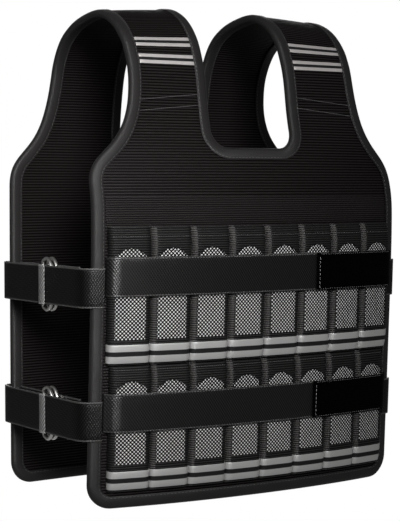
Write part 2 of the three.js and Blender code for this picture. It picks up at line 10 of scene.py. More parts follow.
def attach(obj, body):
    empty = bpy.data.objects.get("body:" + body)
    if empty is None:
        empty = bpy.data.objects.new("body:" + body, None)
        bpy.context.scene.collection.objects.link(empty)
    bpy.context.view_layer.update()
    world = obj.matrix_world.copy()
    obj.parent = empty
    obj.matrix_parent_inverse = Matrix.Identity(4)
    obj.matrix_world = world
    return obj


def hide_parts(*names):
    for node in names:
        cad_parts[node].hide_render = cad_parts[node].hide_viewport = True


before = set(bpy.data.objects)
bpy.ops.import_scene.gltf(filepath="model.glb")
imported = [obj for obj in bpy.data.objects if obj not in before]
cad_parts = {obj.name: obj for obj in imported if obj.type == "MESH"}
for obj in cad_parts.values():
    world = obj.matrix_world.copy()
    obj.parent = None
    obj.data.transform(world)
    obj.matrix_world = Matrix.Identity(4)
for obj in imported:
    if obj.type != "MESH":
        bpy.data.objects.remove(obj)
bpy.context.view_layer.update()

# The body: padded black cloth with a ribbed mesh face, cut as a front and a back panel that two
# shoulder straps join. It is drawn as a flat pattern, x across and s along the cloth from the
# front hem, over the shoulder and down to the back hem, and laid on the vest's side profile.
MM = 0.001
HEIGHT = 546 * MM
HALF_DEPTH = 113.3 * MM
CLOTH_THICK = 6 * MM
TAPE_ROOM = 0.5 * MM
TAPE_WALL = 1 * MM
EDGE = CLOTH_THICK / 2 + TAPE_ROOM + TAPE_WALL
REST = HEIGHT - EDGE  # the shoulder rest's height over the hem
HALF = 205 * MM
HEM_CORNER = 27 * MM
ARMHOLE, ARMHOLE_PULL = (350 * MM, 478 * MM), 0.38
STRAP_HALF = 152.5 * MM
NECK_HALF = 54.4 * MM
NECK_BOTTOM = 393 * MM
NECK_CORNER = 20 * MM
SEAM_HEIGHT = 441.5 * MM
SEAM_RISE = 9.5 * MM
# The side profile as shares of the half depth and of the height, front hem to back hem
PROFILE = [
    (-0.821, 0.0082), (-0.936, 0.549), (-0.927, 0.614), (-0.878, 0.663), (-0.766, 0.769),
    (-0.68, 0.875), (-0.622, 0.91), (-0.552, 0.938), (-0.415, 0.969), (-0.256, 0.989),
    (-0.071, 1), (0.194, 0.996), (0.494, 0.979), (0.702, 0.951), (0.856, 0.901),
    (0.94, 0.833), (0.984, 0.751), (1, 0.641), (1, 0.0082),
]
BOW_FRONT, BOW_FRONT_EDGE, BOW_BACK = 19 * MM, 3.6 * MM, -9.8 * MM
BOW_FADE = (0.66, 0.82)
CREST_ROOM = 40 * MM  # half of the stretch over the shoulder, where height doesn't tell the place
CREST_FALL, CREST_SPAN = 6 * MM, (0.88, 0.98)
STRAP_MIDDLE = (STRAP_HALF + NECK_HALF) / 2


def profile_line(steps=60):
    """Points along the side profile, on a centripetal curve through its rows."""
    knots = [np.array((d * HALF_DEPTH, r * HEIGHT)) for d, r in PROFILE]
    knots = [2 * knots[0] - knots[1]] + knots + [2 * knots[-1] - knots[-2]]
    line = []
    for p0, p1, p2, p3 in zip(knots, knots[1:], knots[2:], knots[3:]):
        t = np.cumsum([0] + [np.linalg.norm(b - a) ** 0.5 for a, b in ((p0, p1), (p1, p2), (p2, p3))])
        for u in np.linspace(t[1], t[2], steps, endpoint=False):
            a1 = ((t[1] - u) * p0 + (u - t[0]) * p1) / (t[1] - t[0])
            a2 = ((t[2] - u) * p1 + (u - t[1]) * p2) / (t[2] - t[1])
            a3 = ((t[3] - u) * p2 + (u - t[2]) * p3) / (t[3] - t[2])
            b1 = ((t[2] - u) * a1 + (u - t[0]) * a2) / (t[2] - t[0])
            b2 = ((t[3] - u) * a2 + (u - t[1]) * a3) / (t[3] - t[1])
            line.append(((t[2] - u) * b1 + (u - t[1]) * b2) / (t[2] - t[1]))
    return np.array(line + [knots[-2]])


def reach_along(points):
    """The distance of each point from the first one, along the line."""
    return np.concatenate([[0], np.cumsum(np.linalg.norm(np.diff(points, axis=0), axis=1))])


LINE = profile_line()
LINE_S = EDGE + reach_along(LINE)
CLOTH = LINE_S[-1] + EDGE


def station(height):
    """The place along the front, from the hem, at a height over the hem."""
    rising = LINE_S < CLOTH / 2 - CREST_ROOM
    below = np.minimum(height - LINE[0, 1], 0)
    return np.interp(height, LINE[rising, 1], LINE_S[rising]) + below


def smooth(value, low, high):
    t = np.clip((value - low) / (high - low), 0, 1)
    return t * t * (3 - 2 * t)


def bow(x, front):
    share = np.abs(x) / HALF
    return np.where(front, BOW_FRONT * share**2 + BOW_FRONT_EDGE * share**4, BOW_BACK * share**2)


def stacked(*parts):
    """Points from their coordinates, in any shapes that fit together."""
    return np.stack(np.broadcast_arrays(*parts), -1)


def cloth_point(x, s):
    y = np.interp(s, LINE_S, LINE[:, 0])
    z = np.interp(s, LINE_S, LINE[:, 1])
    fade = 1 - smooth(z / HEIGHT, *BOW_FADE)
    front = s < CLOTH / 2
    y = y + fade * (bow(x, front) - bow(STRAP_MIDDLE, front))
    tilt = CREST_FALL * smooth(z / HEIGHT, *CREST_SPAN)
    z = z - tilt * (np.abs(x) - STRAP_MIDDLE) / (STRAP_HALF - NECK_HALF)
    return stacked(x, y, z - REST)


def unit(v):
    return v / np.maximum(np.linalg.norm(v, axis=-1, keepdims=True), 1e-12)


def cloth_normal(x, s):
    step = 1.5 * MM
    s = np.clip(s, EDGE + step, CLOTH - EDGE - step)
    across = cloth_point(x + step, s) - cloth_point(x - step, s)
    along = cloth_point(x, s + step) - cloth_point(x, s - step)
    return unit(np.cross(across, along))


def off_cloth(x, s, off):
    x, s, off = np.broadcast_arrays(np.asarray(x, float), s, off)
    return cloth_point(x, s) + cloth_normal(x, s) * off[..., None]


def deselect():
    bpy.ops.object.select_all(action="DESELECT")


def finished(obj, name, material):
    """Name a piece, give it its finish, and let it ride with the vest."""
    obj.name = name
    obj.data.name = name
    obj.data.materials.clear()
    obj.data.materials.append(material)
    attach(obj, "root")
    return obj


def grid_piece(points, uv, closed=False):
    """A grid primitive laid on a table of points, with a UV map in metres."""
    rows, columns = points.shape[:2]
    deselect()
    bpy.ops.mesh.primitive_grid_add(x_subdivisions=columns - 1, y_subdivisions=rows - 1, size=2)
    obj = bpy.context.object
    mesh = obj.data
    flat = np.empty(len(mesh.vertices) * 3)
    mesh.vertices.foreach_get("co", flat)
    flat = flat.reshape(-1, 3)
    i = np.rint((flat[:, 0] + 1) / 2 * (columns - 1)).astype(int)
    j = np.rint((flat[:, 1] + 1) / 2 * (rows - 1)).astype(int)
    mesh.vertices.foreach_set("co", points[j, i].ravel())
    loops = np.empty(len(mesh.loops), dtype=int)
    mesh.loops.foreach_get("vertex_index", loops)
    mesh.uv_layers.active.data.foreach_set("uv", uv[j, i][loops].ravel())
    mesh.update()
    if closed:
        weld(obj)
    return obj


def pick(obj):
    deselect()
    obj.select_set(True)
    bpy.context.view_layer.objects.active = obj


def edit_whole(operation, **options):
    """One edit-mode operation on the whole of the active piece."""
    bpy.ops.object.mode_set(mode="EDIT")
    bpy.ops.mesh.select_all(action="SELECT")
    operation(**options)
    bpy.ops.object.mode_set(mode="OBJECT")


def weld(obj):
    pick(obj)
    edit_whole(bpy.ops.mesh.remove_doubles, threshold=0.01 * MM)


def face_outwards():
    edit_whole(bpy.ops.mesh.normals_make_consistent, inside=False)


def thicken(obj, thick, offset, rounding=0.4 * MM):
    """Give a sheet its wall, rounded at its edges. Offset 1 builds outwards, -1 inwards."""
    pick(obj)
    wall = obj.modifiers.new("wall", "SOLIDIFY")
    wall.thickness = thick
    wall.offset = offset
    wall.use_even_offset = True
    bpy.ops.object.modifier_apply(modifier="wall")
    if rounding:
        soft = obj.modifiers.new("soft", "BEVEL")
        soft.width = rounding
        soft.segments = 2
        soft.limit_method = "ANGLE"
        soft.angle_limit = math.radians(50)
        bpy.ops.object.modifier_apply(modifier="soft")
    bpy.ops.object.shade_smooth_by_angle(angle=math.radians(45))


def join(objects):
    deselect()
    for obj in objects:
        obj.select_set(True)
    bpy.context.view_layer.objects.active = objects[0]
    bpy.ops.object.join()
    return bpy.context.object


def edge_line(corners, spacing=3 * MM):
    """A pattern edge from straight and curved stretches, each given as a function of 0 to 1."""
    points = []
    for stretch in corners:
        rough = np.array([stretch(t) for t in np.linspace(0, 1, 50)])
        length = np.linalg.norm(np.diff(rough, axis=0), axis=1).sum()
        count = max(2, math.ceil(length / spacing) + 1)
        fine = np.array([stretch(t) for t in np.linspace(0, 1, count)])
        points.extend(fine if not points else fine[1:])
    return np.array(points)


def straight(a, b):
    return lambda t: (a[0] + (b[0] - a[0]) * t, a[1] + (b[1] - a[1]) * t)


def corner_arc(x, s, radius):
    return lambda t: (x + radius * math.sin(t * math.pi / 2), s - radius * math.cos(t * math.pi / 2))


def outer_edge():
    low, high = (float(station(z)) for z in ARMHOLE)
    pull = (high - low) * ARMHOLE_PULL
    p = [(HALF, low), (HALF, low + pull), (STRAP_HALF + 2 * MM, high - 2 * pull), (STRAP_HALF, high)]

    def armhole(t):
        w = ((1 - t) ** 3, 3 * t * (1 - t) ** 2, 3 * t**2 * (1 - t), t**3)
        return tuple(sum(k * q[i] for k, q in zip(w, p)) for i in (0, 1))

    return edge_line([
        straight((0, 0), (HALF - HEM_CORNER, 0)),
        corner_arc(HALF - HEM_CORNER, HEM_CORNER, HEM_CORNER),
        straight((HALF, HEM_CORNER), (HALF, low)),
        armhole,
        straight((STRAP_HALF, high), (STRAP_HALF, CLOTH / 2)),
    ])


def neck_edge():
    bottom = float(station(NECK_BOTTOM))
    return edge_line([
        straight((0, bottom), (NECK_HALF - NECK_CORNER, bottom)),
        corner_arc(NECK_HALF - NECK_CORNER, bottom + NECK_CORNER, NECK_CORNER),
        straight((NECK_HALF, bottom + NECK_CORNER), (NECK_HALF, CLOTH / 2)),
    ])


def line_way(points, closed=False):
    if closed:
        return unit(np.roll(points, -1, axis=0) - np.roll(points, 1, axis=0))
    padded = np.vstack([points[:1], points, points[-1:]])
    return unit(padded[2:] - padded[:-2])


def shifted(points, distance):
    """The edge moved to the left of its way."""
    way = line_way(points)
    return points + stacked(-way[:, 1], way[:, 0]) * distance


OUTER, NECK = outer_edge(), neck_edge()
OUTER_CUT, NECK_CUT = shifted(OUTER, EDGE), shifted(NECK, -EDGE)


def half_at(cut, s):
    return np.interp(s, np.maximum.accumulate(cut[:, 1]), cut[:, 0])


def seam_rise(x):
    return SEAM_RISE * (STRAP_HALF - np.abs(x)) / (STRAP_HALF - NECK_HALF)


def math_node(tree, operation, *values):
    """A Math node fed by sockets or plain numbers."""
    node = tree.nodes.new("ShaderNodeMath")
    node.operation = operation
    for k, value in enumerate(values):
        if isinstance(value, (int, float)):
            node.inputs[k].default_value = value
        else:
            tree.links.new(value, node.inputs[k])
    return node.outputs[0]


def times(tree, a, b):
    return math_node(tree, "MULTIPLY", a, b)


def plus(tree, a, b):
    return math_node(tree, "ADD", a, b)


def scaled(tree, value, factor, added):
    return math_node(tree, "MULTIPLY_ADD", value, factor, added)


def waves(tree, value, pitch, kind="COSINE"):
    """A wave of one crest for each pitch of the value."""
    return math_node(tree, kind, times(tree, value, 2 * math.pi / pitch))


def components(tree, vector):
    node = tree.nodes.new("ShaderNodeSeparateXYZ")
    tree.links.new(vector, node.inputs[0])
    return node.outputs


def ramp(tree, value, low, high):
    """A value that is 0 at low and 1 at high."""
    node = tree.nodes.new("ShaderNodeMapRange")
    node.inputs["From Min"].default_value = low
    node.inputs["From Max"].default_value = high
    tree.links.new(value, node.inputs["Value"])
    return node.outputs[0]


def paint(tree, shader, color):
    tree.links.new(color, shader.inputs["Base Color"])


def new_group(name, inputs, outputs):
    group = bpy.data.node_groups.new(name, "ShaderNodeTree")
    for label, kind, value in inputs:
        socket = group.interface.new_socket(name=label, in_out="INPUT", socket_type=f"NodeSocket{kind}")
        if value is not None:
            socket.default_value = value
    for label, kind in outputs:
        group.interface.new_socket(name=label, in_out="OUTPUT", socket_type=f"NodeSocket{kind}")
    return group, group.nodes.new("NodeGroupInput"), group.nodes.new("NodeGroupOutput")


def rib_group():
    """Ribs across the cloth with a row of small holes along each, as on spacer mesh."""
    group, source, result = new_group(
        "ribbed_mesh",
        [("UV", "Vector", None), ("Rib Pitch", "Float", 0.0032), ("Hole Pitch", "Float", 0.0027)],
        [("Height", "Float"), ("Hole", "Float")],
    )
    place = components(group, source.outputs["UV"])
    row = math_node(group, "DIVIDE", place[1], source.outputs["Rib Pitch"])
    turn = times(group, row, 2 * math.pi)
    rib = scaled(group, math_node(group, "COSINE", turn), 0.5, 0.5)
    half_step = times(group, math_node(group, "FLOOR", row), 0.5)
    step = math_node(group, "DIVIDE", place[0], source.outputs["Hole Pitch"])
    along = plus(group, step, half_step)
    spot = math_node(group, "COSINE", times(group, along, 2 * math.pi))
    spot = scaled(group, spot, 0.5, 0.5)
    hole = times(group, math_node(group, "SUBTRACT", 1.0, rib), spot)
    group.links.new(hole, result.inputs["Hole"])
    broken = times(group, rib, scaled(group, spot, 0.6, 0.4))
    height = math_node(group, "SUBTRACT", broken, times(group, hole, 0.3))
    group.links.new(height, result.inputs["Height"])
    return group


def lint_group():
    """Slow shade changes and fine fibre over cloth, from 0 to 1."""
    group, source, result = new_group(
        "fibre_lint", [("Fibre Scale", "Float", 900.0)], [("Slow", "Float"), ("Fine", "Float")],
    )
    place = group.nodes.new("ShaderNodeTexCoord")
    for label, scale in (("Slow", 9.0), ("Fine", None)):
        noise = group.nodes.new("ShaderNodeTexNoise")
        noise.inputs["Detail"].default_value = 3
        if scale:
            noise.inputs["Scale"].default_value = scale
        else:
            group.links.new(source.outputs["Fibre Scale"], noise.inputs["Scale"])
        group.links.new(place.outputs["Object"], noise.inputs["Vector"])
        group.links.new(noise.outputs["Fac"], result.inputs[label])
    return group


RIBS, LINT = rib_group(), lint_group()


def new_material(name, roughness, sheen=0.0, metallic=0.0, specular=0.5):
    """A material with its shader, and a UV node for patterns that follow the cloth."""
    material = bpy.data.materials.new(name)
    material.use_nodes = True
    tree = material.node_tree
    shader = tree.nodes["Principled BSDF"]
    shader.inputs["Roughness"].default_value = roughness
    shader.inputs["Metallic"].default_value = metallic
    shader.inputs["Specular IOR Level"].default_value = specular
    shader.inputs["Sheen Weight"].default_value = sheen
    shader.inputs["Sheen Roughness"].default_value = 0.5
    uv = tree.nodes.new("ShaderNodeUVMap")
    return material, tree, shader, uv.outputs[0]


def use_group(tree, group, **values):
    node = tree.nodes.new("ShaderNodeGroup")
    node.node_tree = group
    for label, value in values.items():
        socket = node.inputs[label.replace("_", " ")]
        if isinstance(value, (int, float)):
            socket.default_value = value
        else:
            tree.links.new(value, socket)
    return node.outputs


def mix_color(tree, factor, low, high):
    """A color between two others, each a tuple or a socket."""
    node = tree.nodes.new("ShaderNodeMix")
    node.data_type = "RGBA"
    tree.links.new(factor, node.inputs[0])
    for socket, value in ((node.inputs[6], low), (node.inputs[7], high)):
        if isinstance(value, tuple):
            socket.default_value = (*value, 1)
        else:
            tree.links.new(value, socket)
    return node.outputs[2]


def bump(tree, shader, height, depth):
    node = tree.nodes.new("ShaderNodeBump")
    node.inputs["Distance"].default_value = depth
    tree.links.new(height, node.inputs["Height"])
    tree.links.new(node.outputs[0], shader.inputs["Normal"])


def ribbed_material(name, dark, light, rib=3.2 * MM, hole=2.7 * MM, depth=0.4 * MM):
    """Ribbed cloth: the ribs, slow changes and fine fibre set its shade, and the ribs its gloss."""
    material, tree, shader, uv = new_material(name, 0.52)
    ribs = use_group(tree, RIBS, UV=uv, Rib_Pitch=rib, Hole_Pitch=hole)
    lint = use_group(tree, LINT)
    shade = scaled(tree, lint["Slow"], 0.4, 0.1)
    shade = plus(tree, shade, times(tree, ribs["Height"], 0.85))
    shade = times(tree, shade, scaled(tree, lint["Fine"], 0.9, 0.5))
    tree.links.new(mix_color(tree, shade, dark, light), shader.inputs["Base Color"])
    gloss = scaled(tree, ribs["Height"], 0.32, 0.06)
    tree.links.new(gloss, shader.inputs["Specular IOR Level"])
    bump(tree, shader, ribs["Height"], depth)
    return material


ribbed_cloth = ribbed_material("ribbed_cloth", (0.0006, 0.0004, 0.0004), (0.008, 0.0058, 0.0057))

SIDE, MIDDLE = 13, 8  # the grid's columns at each side of the neck, and below it
CORNER_ROWS, BODY_ROWS, NOTCH_ROWS, CHEST_ROWS = 9, 52, 7, 8  # its rows, from the hem to the seam
STRAP_ROWS, STRAP_COLUMNS = 60, 15
STRAP_PAD = 0.8 * MM  # how much a shoulder strap swells between its edges


def panel_grid():
    """Pattern places over the front panel; the notch is left out where the neck is."""
    neckline = float(NECK_CUT[0, 1])
    seam = float(station(SEAM_HEIGHT))
    corner, notch = (1 - np.cos(np.linspace(0, math.pi / 2, k)) for k in (CORNER_ROWS, NOTCH_ROWS))
    rows = np.concatenate([
        EDGE + corner * (HEM_CORNER - EDGE),
        np.linspace(HEM_CORNER, neckline, BODY_ROWS)[1:],
        neckline + notch[1:] * NECK_CORNER,
        np.linspace(neckline + NECK_CORNER, seam, CHEST_ROWS)[1:],
    ])
    near = np.where(rows <= neckline, NECK_HALF - NECK_CORNER, half_at(NECK_CUT, rows))
    far = half_at(OUTER_CUT, np.maximum(rows, OUTER_CUT[0, 1] + 1e-7))
    far[0] = HALF - HEM_CORNER
    rising = np.clip((rows - neckline) / (seam - neckline), 0, 1)
    share = np.linspace(0, 1, SIDE + 1)
    right = near[:, None] + (far - near)[:, None] * share
    middle = near[:, None] * np.linspace(-1, 1, MIDDLE + 1)[None, 1:-1]
    x = np.hstack([-right[:, ::-1], middle, right])
    s = rows[:, None] + rising[:, None] * np.where(np.abs(x) >= near[:, None] - 1e-9, seam_rise(x), 0)
    return x, s, int(np.argmin(np.abs(rows - neckline)))


def cut_notch(obj, neck_row, columns):
    """Delete the faces that fill the neck hole."""
    pick(obj)
    bpy.ops.object.mode_set(mode="EDIT")
    bpy.ops.mesh.select_mode(type="FACE")
    bpy.ops.mesh.select_all(action="DESELECT")
    bpy.ops.object.mode_set(mode="OBJECT")
    for k, face in enumerate(obj.data.polygons):
        j, i = divmod(k, columns - 1)
        face.select = j >= neck_row and SIDE <= i < SIDE + MIDDLE
    bpy.ops.object.mode_set(mode="EDIT")
    bpy.ops.mesh.delete(type="FACE")
    bpy.ops.mesh.select_mode(type="VERT")
    bpy.ops.object.mode_set(mode="OBJECT")


def panel(name, back):
    x, s, neck_row = panel_grid()
    if back:
        x, s = -x, CLOTH - s
    obj = grid_piece(off_cloth(x, s, 0), stacked(x, s))
    cut_notch(obj, neck_row, x.shape[1])
    thicken(obj, CLOTH_THICK, 0, 0)
    finished(obj, f"{name}_cloth", ribbed_cloth)
    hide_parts(name)


def shoulder_strap(name, side):
    seam = float(station(SEAM_HEIGHT))
    rows = np.linspace(seam, CLOTH - seam, STRAP_ROWS)
    mirrored = np.minimum(rows, CLOTH - rows)
    near, far = half_at(NECK_CUT, mirrored), half_at(OUTER_CUT, mirrored)
    x = near[:, None] + (far - near)[:, None] * np.linspace(0, 1, STRAP_COLUMNS)
    slant = (CLOTH - 2 * rows) / (CLOTH - 2 * seam)
    s = rows[:, None] + slant[:, None] * seam_rise(x)
    if side < 0:
        x, s = -x[:, ::-1], s[:, ::-1]
    across = (np.abs(x) - near[:, None]) / (far - near)[:, None]
    pad = STRAP_PAD * np.sin(math.pi * across) ** 0.5
    obj = grid_piece(off_cloth(x, s, pad), stacked(x, s))
    thicken(obj, CLOTH_THICK, 0, 0)
    finished(obj, f"{name}_cloth", ribbed_cloth)
    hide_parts(name)


panel("front_panel", False)
panel("back_panel", True)
shoulder_strap("shoulder_strap_left", 1)
shoulder_strap("shoulder_strap_right", -1)

# The bindings: dark grey tape folded over every edge of the cloth, one round the outside and one
# round the neck, and sewn down near its own edge with a small light stitch on both faces.
TAPE_LEG = 9.5 * MM
TAPE_LIP = (0.6 * MM, 0.35 * MM)  # how its cut edge is rounded, along and across
TAPE_DOME = 0.15 * MM
STITCH_PITCH, STITCH_LONG, STITCH_THICK = 4.4 * MM, 2.6 * MM, 0.55 * MM
STITCH_FLAT = 0.8  # a stitch's depth as a share of its width
STITCH_RISE = 0.05 * MM  # how far the middle of a stitch lies off what it is sewn to
STITCH_INSET = 1.7 * MM


def closed_line(quarter):
    """The whole edge, closed on itself, from the quarter of it at the front left."""
    back = stacked(quarter[:-1, 0], CLOTH - quarter[:-1, 1])[::-1]
    right = np.vstack([quarter, back])
    left = right[1:-1][::-1] * (-1, 1)
    return np.vstack([right, left])


def tape_material():
    """Woven tape with fine cords across it."""
    material, tree, shader, uv = new_material("binding_tape", 0.5, sheen=0.02, specular=0.3)
    place = components(tree, uv)
    cords = waves(tree, place[0], 1.1 * MM, "SINE")
    lint = use_group(tree, LINT)
    shade = scaled(tree, lint["Slow"], 0.7, 0.05)
    shade = plus(tree, shade, times(tree, lint["Fine"], 0.25))
    paint(tree, shader, mix_color(tree, shade, (0.0045, 0.004, 0.004), (0.0145, 0.013, 0.0128)))
    bump(tree, shader, cords, 0.06 * MM)
    return material


def thread_material(name, color):
    material, tree, shader, _ = new_material(name, 0.6, sheen=0.1)
    lint = use_group(tree, LINT)
    dark = tuple(0.45 * c for c in color)
    paint(tree, shader, mix_color(tree, lint["Fine"], dark, color))
    return material


binding_tape = tape_material()
tape_thread = thread_material("tape_thread", (0.085, 0.083, 0.082))


def stitches(name, lines, slot_name, material, long=STITCH_LONG, thick=STITCH_THICK):
    """Short threads lying on a surface: one cylinder is repeated, and each copy laid on its place.

    Each line holds its stitches' places, ways and normals."""
    places, ways, normals = (np.vstack(part) for part in zip(*lines))
    deselect()
    bpy.ops.mesh.primitive_cylinder_add(vertices=6, radius=0.5, depth=1, location=(0, 0, 0))
    obj = bpy.context.object
    one = np.array([v.co for v in obj.data.vertices]) * (thick, thick * STITCH_FLAT, long)
    run = obj.modifiers.new("run", "ARRAY")
    run.count = len(places)
    bpy.ops.object.modifier_apply(modifier="run")
    side = np.cross(normals, ways)
    copies = places[:, None] + sum(
        axis[:, None] * one[None, :, k:k + 1] for k, axis in enumerate((side, normals, ways))
    )
    obj.data.vertices.foreach_set("co", copies.ravel())
    face_outwards()
    finished(obj, name, material)


def spaced(points, pitch):
    """Places at even steps along a line of pattern points."""
    reach = reach_along(points)
    at = np.arange(pitch / 2, reach[-1], pitch)
    return stacked(*(np.interp(at, reach, points[:, k]) for k in (0, 1)))


def sewn_line(points, off, pitch=STITCH_PITCH):
    """Places, ways and normals of the stitches along a pattern line at a height off the cloth."""
    at = spaced(points, pitch)
    way = line_way(at)
    step = way * 0.5 * MM
    a = off_cloth(at[:, 0] - step[:, 0], at[:, 1] - step[:, 1], off)
    b = off_cloth(at[:, 0] + step[:, 0], at[:, 1] + step[:, 1], off)
    normal = cloth_normal(at[:, 0], at[:, 1]) * np.sign(off)
    return (a + b) / 2, unit(b - a), normal


def binding(name, edge, inward):
    """A grid laid on the tape's folded section all the way round an edge, and closed on itself."""
    hearts = closed_line(shifted(edge, EDGE * inward))
    way = line_way(hearts, closed=True)
    into = stacked(-way[:, 1], way[:, 0]) * inward
    inner = EDGE - TAPE_WALL
    turn = np.radians((62, 36, 12, -12, -36, -62))
    nose = [(-EDGE * 0.98 * math.cos(a), EDGE * math.sin(a)) for a in turn]
    lip_along, lip_off = TAPE_LIP
    face = [(TAPE_LEG, EDGE - lip_off), (TAPE_LEG - lip_along, EDGE), (TAPE_LEG / 2, EDGE + TAPE_DOME)]
    other_face = [(depth, -off) for depth, off in reversed(face)]
    inside = [(TAPE_LEG, -inner), (0, -inner), (0, inner), (TAPE_LEG, inner)]
    section = [*face, (0, EDGE), *nose, (0, -EDGE), *other_face, *inside]
    middle = off_cloth(hearts[:, 0], hearts[:, 1], 0)
    up = cloth_normal(hearts[:, 0], hearts[:, 1])
    beside = hearts + into * MM
    out = unit(middle - off_cloth(beside[:, 0], beside[:, 1], 0))
    rings = []
    for depth, off in section:
        if depth > 0:
            on = hearts + into * depth
            rings.append(off_cloth(on[:, 0], on[:, 1], off))
        else:
            rings.append(middle - out * depth + up * off)
    table = np.stack(rings + rings[:1])
    table = np.concatenate([table, table[:, :1]], axis=1)
    uv = stacked(reach_along(table[0])[None], np.arange(len(table))[:, None] * MM)
    obj = grid_piece(table, uv, closed=True)
    face_outwards()
    bpy.ops.object.shade_smooth_by_angle(angle=math.radians(50))
    finished(obj, f"{name}_tape", binding_tape)
    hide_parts(name)
    sewn = hearts + into * (TAPE_LEG - STITCH_INSET)
    sewn = np.vstack([sewn, sewn[:1]])
    lines = [sewn_line(sewn, side * (EDGE + STITCH_RISE)) for side in (1, -1)]
    stitches(f"{name}_stitches", lines, "binding_tape", tape_thread)


binding("outer_binding", OUTER, 1)
binding("neck_binding", NECK, -1)

# The chest and shoulder seams: each strap's end is lapped on the panel and topstitched twice, and a
# flat facing of the same cloth is sewn across the front panel over the upper row of pockets.
SEAM_ROWS = ((1.5 * MM, 0.95 * MM), (-10.5 * MM, 0.2 * MM))  # each row's rise over the seam, and lift
SEAM_PITCH = 2.6 * MM
SEAM_STITCH = (2.0 * MM, 0.8 * MM)  # how long and thick a stitch is
SEAM_SPAN = (NECK_HALF + 14 * MM, STRAP_HALF - 10 * MM)
FACING_LOW, FACING_HIGH, FACING_HALF = 308.5 * MM, 338 * MM, 189.5 * MM
FACING_THICK, FACING_AIR = 0.7 * MM, 0.1 * MM

seam_lines = []
for side in (-1, 1):
    for rise, lift in SEAM_ROWS:
        x = np.linspace(*SEAM_SPAN, 30)
        s = station(SEAM_HEIGHT) + rise + seam_rise(x)
        for line_s in (s, CLOTH - s):
            line = stacked(side * x, line_s)
            seam_lines.append(sewn_line(line, CLOTH_THICK / 2 + lift, SEAM_PITCH))
stitches("seam_stitches", seam_lines, "ribbed_cloth", tape_thread, *SEAM_STITCH)

facing_span = (float(station(FACING_LOW)), float(station(FACING_HIGH)))
facing_x, facing_s = np.meshgrid(np.linspace(-1, 1, 81) * FACING_HALF, np.linspace(*facing_span, 9))
facing = grid_piece(off_cloth(facing_x, facing_s, CLOTH_THICK / 2 + FACING_AIR),
                    stacked(facing_x, facing_s))
thicken(facing, FACING_THICK, 1, 0.2 * MM)
facing_cloth = ribbed_material("facing_cloth", (0.0008, 0.0007, 0.0007), (0.015, 0.0125, 0.0122),
                               rib=2.4 * MM)
finished(facing, "facing_band", facing_cloth)

# The pocket strips: one length of thin ribbed cloth a row, sewn down between the packs so that it
# stands out in eight square-shouldered pockets, each with an arched window cut through it.
POCKET_COUNT = 8
BULGE = 9.6 * MM
POCKET_WALL = 1.3 * MM
ON_CLOTH = CLOTH_THICK / 2 + 0.3 * MM
ROWS = {
    "upper": {
        "bottom": 158.4 * MM, "top": 307 * MM, "half": 188.4 * MM,
        "arch": 284.6 * MM, "sill": 186 * MM,
    },
    "lower": {
        "bottom": 20 * MM, "top": 157.4 * MM, "half": 184.6 * MM,
        "arch": 141 * MM, "sill": 50.5 * MM,
    },
}
# How full a pocket is, as shares of its bulge, from its bottom at 0 to its top at 1
FULLNESS = ((0, 0.62), (0.05, 0.86), (0.14, 1), (0.885, 1), (0.96, 0.82), (1, 0.55))
WINDOW_HALF, ARCH_RISE = 17.2 * MM, 9 * MM
SQUARE = 8.0  # the power that makes a pocket's section square
OUTLINE_COUNTS = (20, 34, 20)  # points along a window's sill, side and top
RIM_STEPS, RIM_POWER = 11, 1.7  # from a window out to its pocket's rim, closer together at the rim
LIT_FLANK = (0.1, 0.125)  # the shares of a pocket's width over which the painted highlight on its left side ends


def relief(row, x, s):
    """How far the pocket cloth stands off the panel."""
    width = 2 * row["half"] / POCKET_COUNT
    across = (x + row["half"]) / width
    share = np.abs(2 * (across - np.clip(np.floor(across), 0, POCKET_COUNT - 1)) - 1)
    section = np.sqrt(np.clip(1 - share**SQUARE, 0, 1))
    low, high = station(row["bottom"]), station(row["top"])
    full = np.interp((s - low) / (high - low), *zip(*FULLNESS))
    return BULGE * section * full


def pocket_middle(row, k):
    return -row["half"] + (2 * k + 1) * row["half"] / POCKET_COUNT


def frame_outline(left, right, low, high, rise):
    """Points round a pocket or a window: along the sill, up, over the top, and down."""
    bottom, side, top = OUTLINE_COUNTS
    turn = np.linspace(0, 1, top + 1)
    arch = high - rise + rise * (1 - (2 * turn - 1) ** 2)
    points = [(x, low) for x in np.linspace(left, right, bottom + 1)[:-1]]
    points += [(right, s) for s in np.linspace(low, high - rise, side + 1)[:-1]]
    points += [(right + (left - right) * t, a) for t, a in zip(turn[:-1], arch)]
    points += [(left, s) for s in np.linspace(high - rise, low, side + 1)]
    return np.array(points)


def pocket_strip(name, row):
    """Eight grids, each from a window out to its pocket's rim, joined and given their wall."""
    half = row["half"] / POCKET_COUNT
    low, high = (float(station(row[key])) for key in ("bottom", "top"))
    sill, arch = (float(station(row[key])) for key in ("sill", "arch"))
    steps = 1 - (1 - np.linspace(0, 1, RIM_STEPS)) ** RIM_POWER
    pieces = []
    for k in range(POCKET_COUNT):
        x = pocket_middle(row, k)
        window = frame_outline(x - WINDOW_HALF, x + WINDOW_HALF, sill, arch, ARCH_RISE)
        rim = frame_outline(x - half, x + half, low, high, 0)
        places = window[None] + (rim - window)[None] * steps[:, None, None]
        inside = np.clip(places[..., 0], x - half + 1e-9, x + half - 1e-9)
        height = ON_CLOTH + relief(row, inside, places[..., 1]) + POCKET_WALL
        outward = off_cloth(places[..., 0], places[..., 1], height)[:, ::-1]
        pieces.append(grid_piece(outward, places[:, ::-1]))
    obj = join(pieces)
    weld(obj)
    thicken(obj, POCKET_WALL, -1, 0.25 * MM)
    finished(obj, f"pocket_cloth_{name}", pocket_cloth)
    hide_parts(f"pocket_strip_{name}")


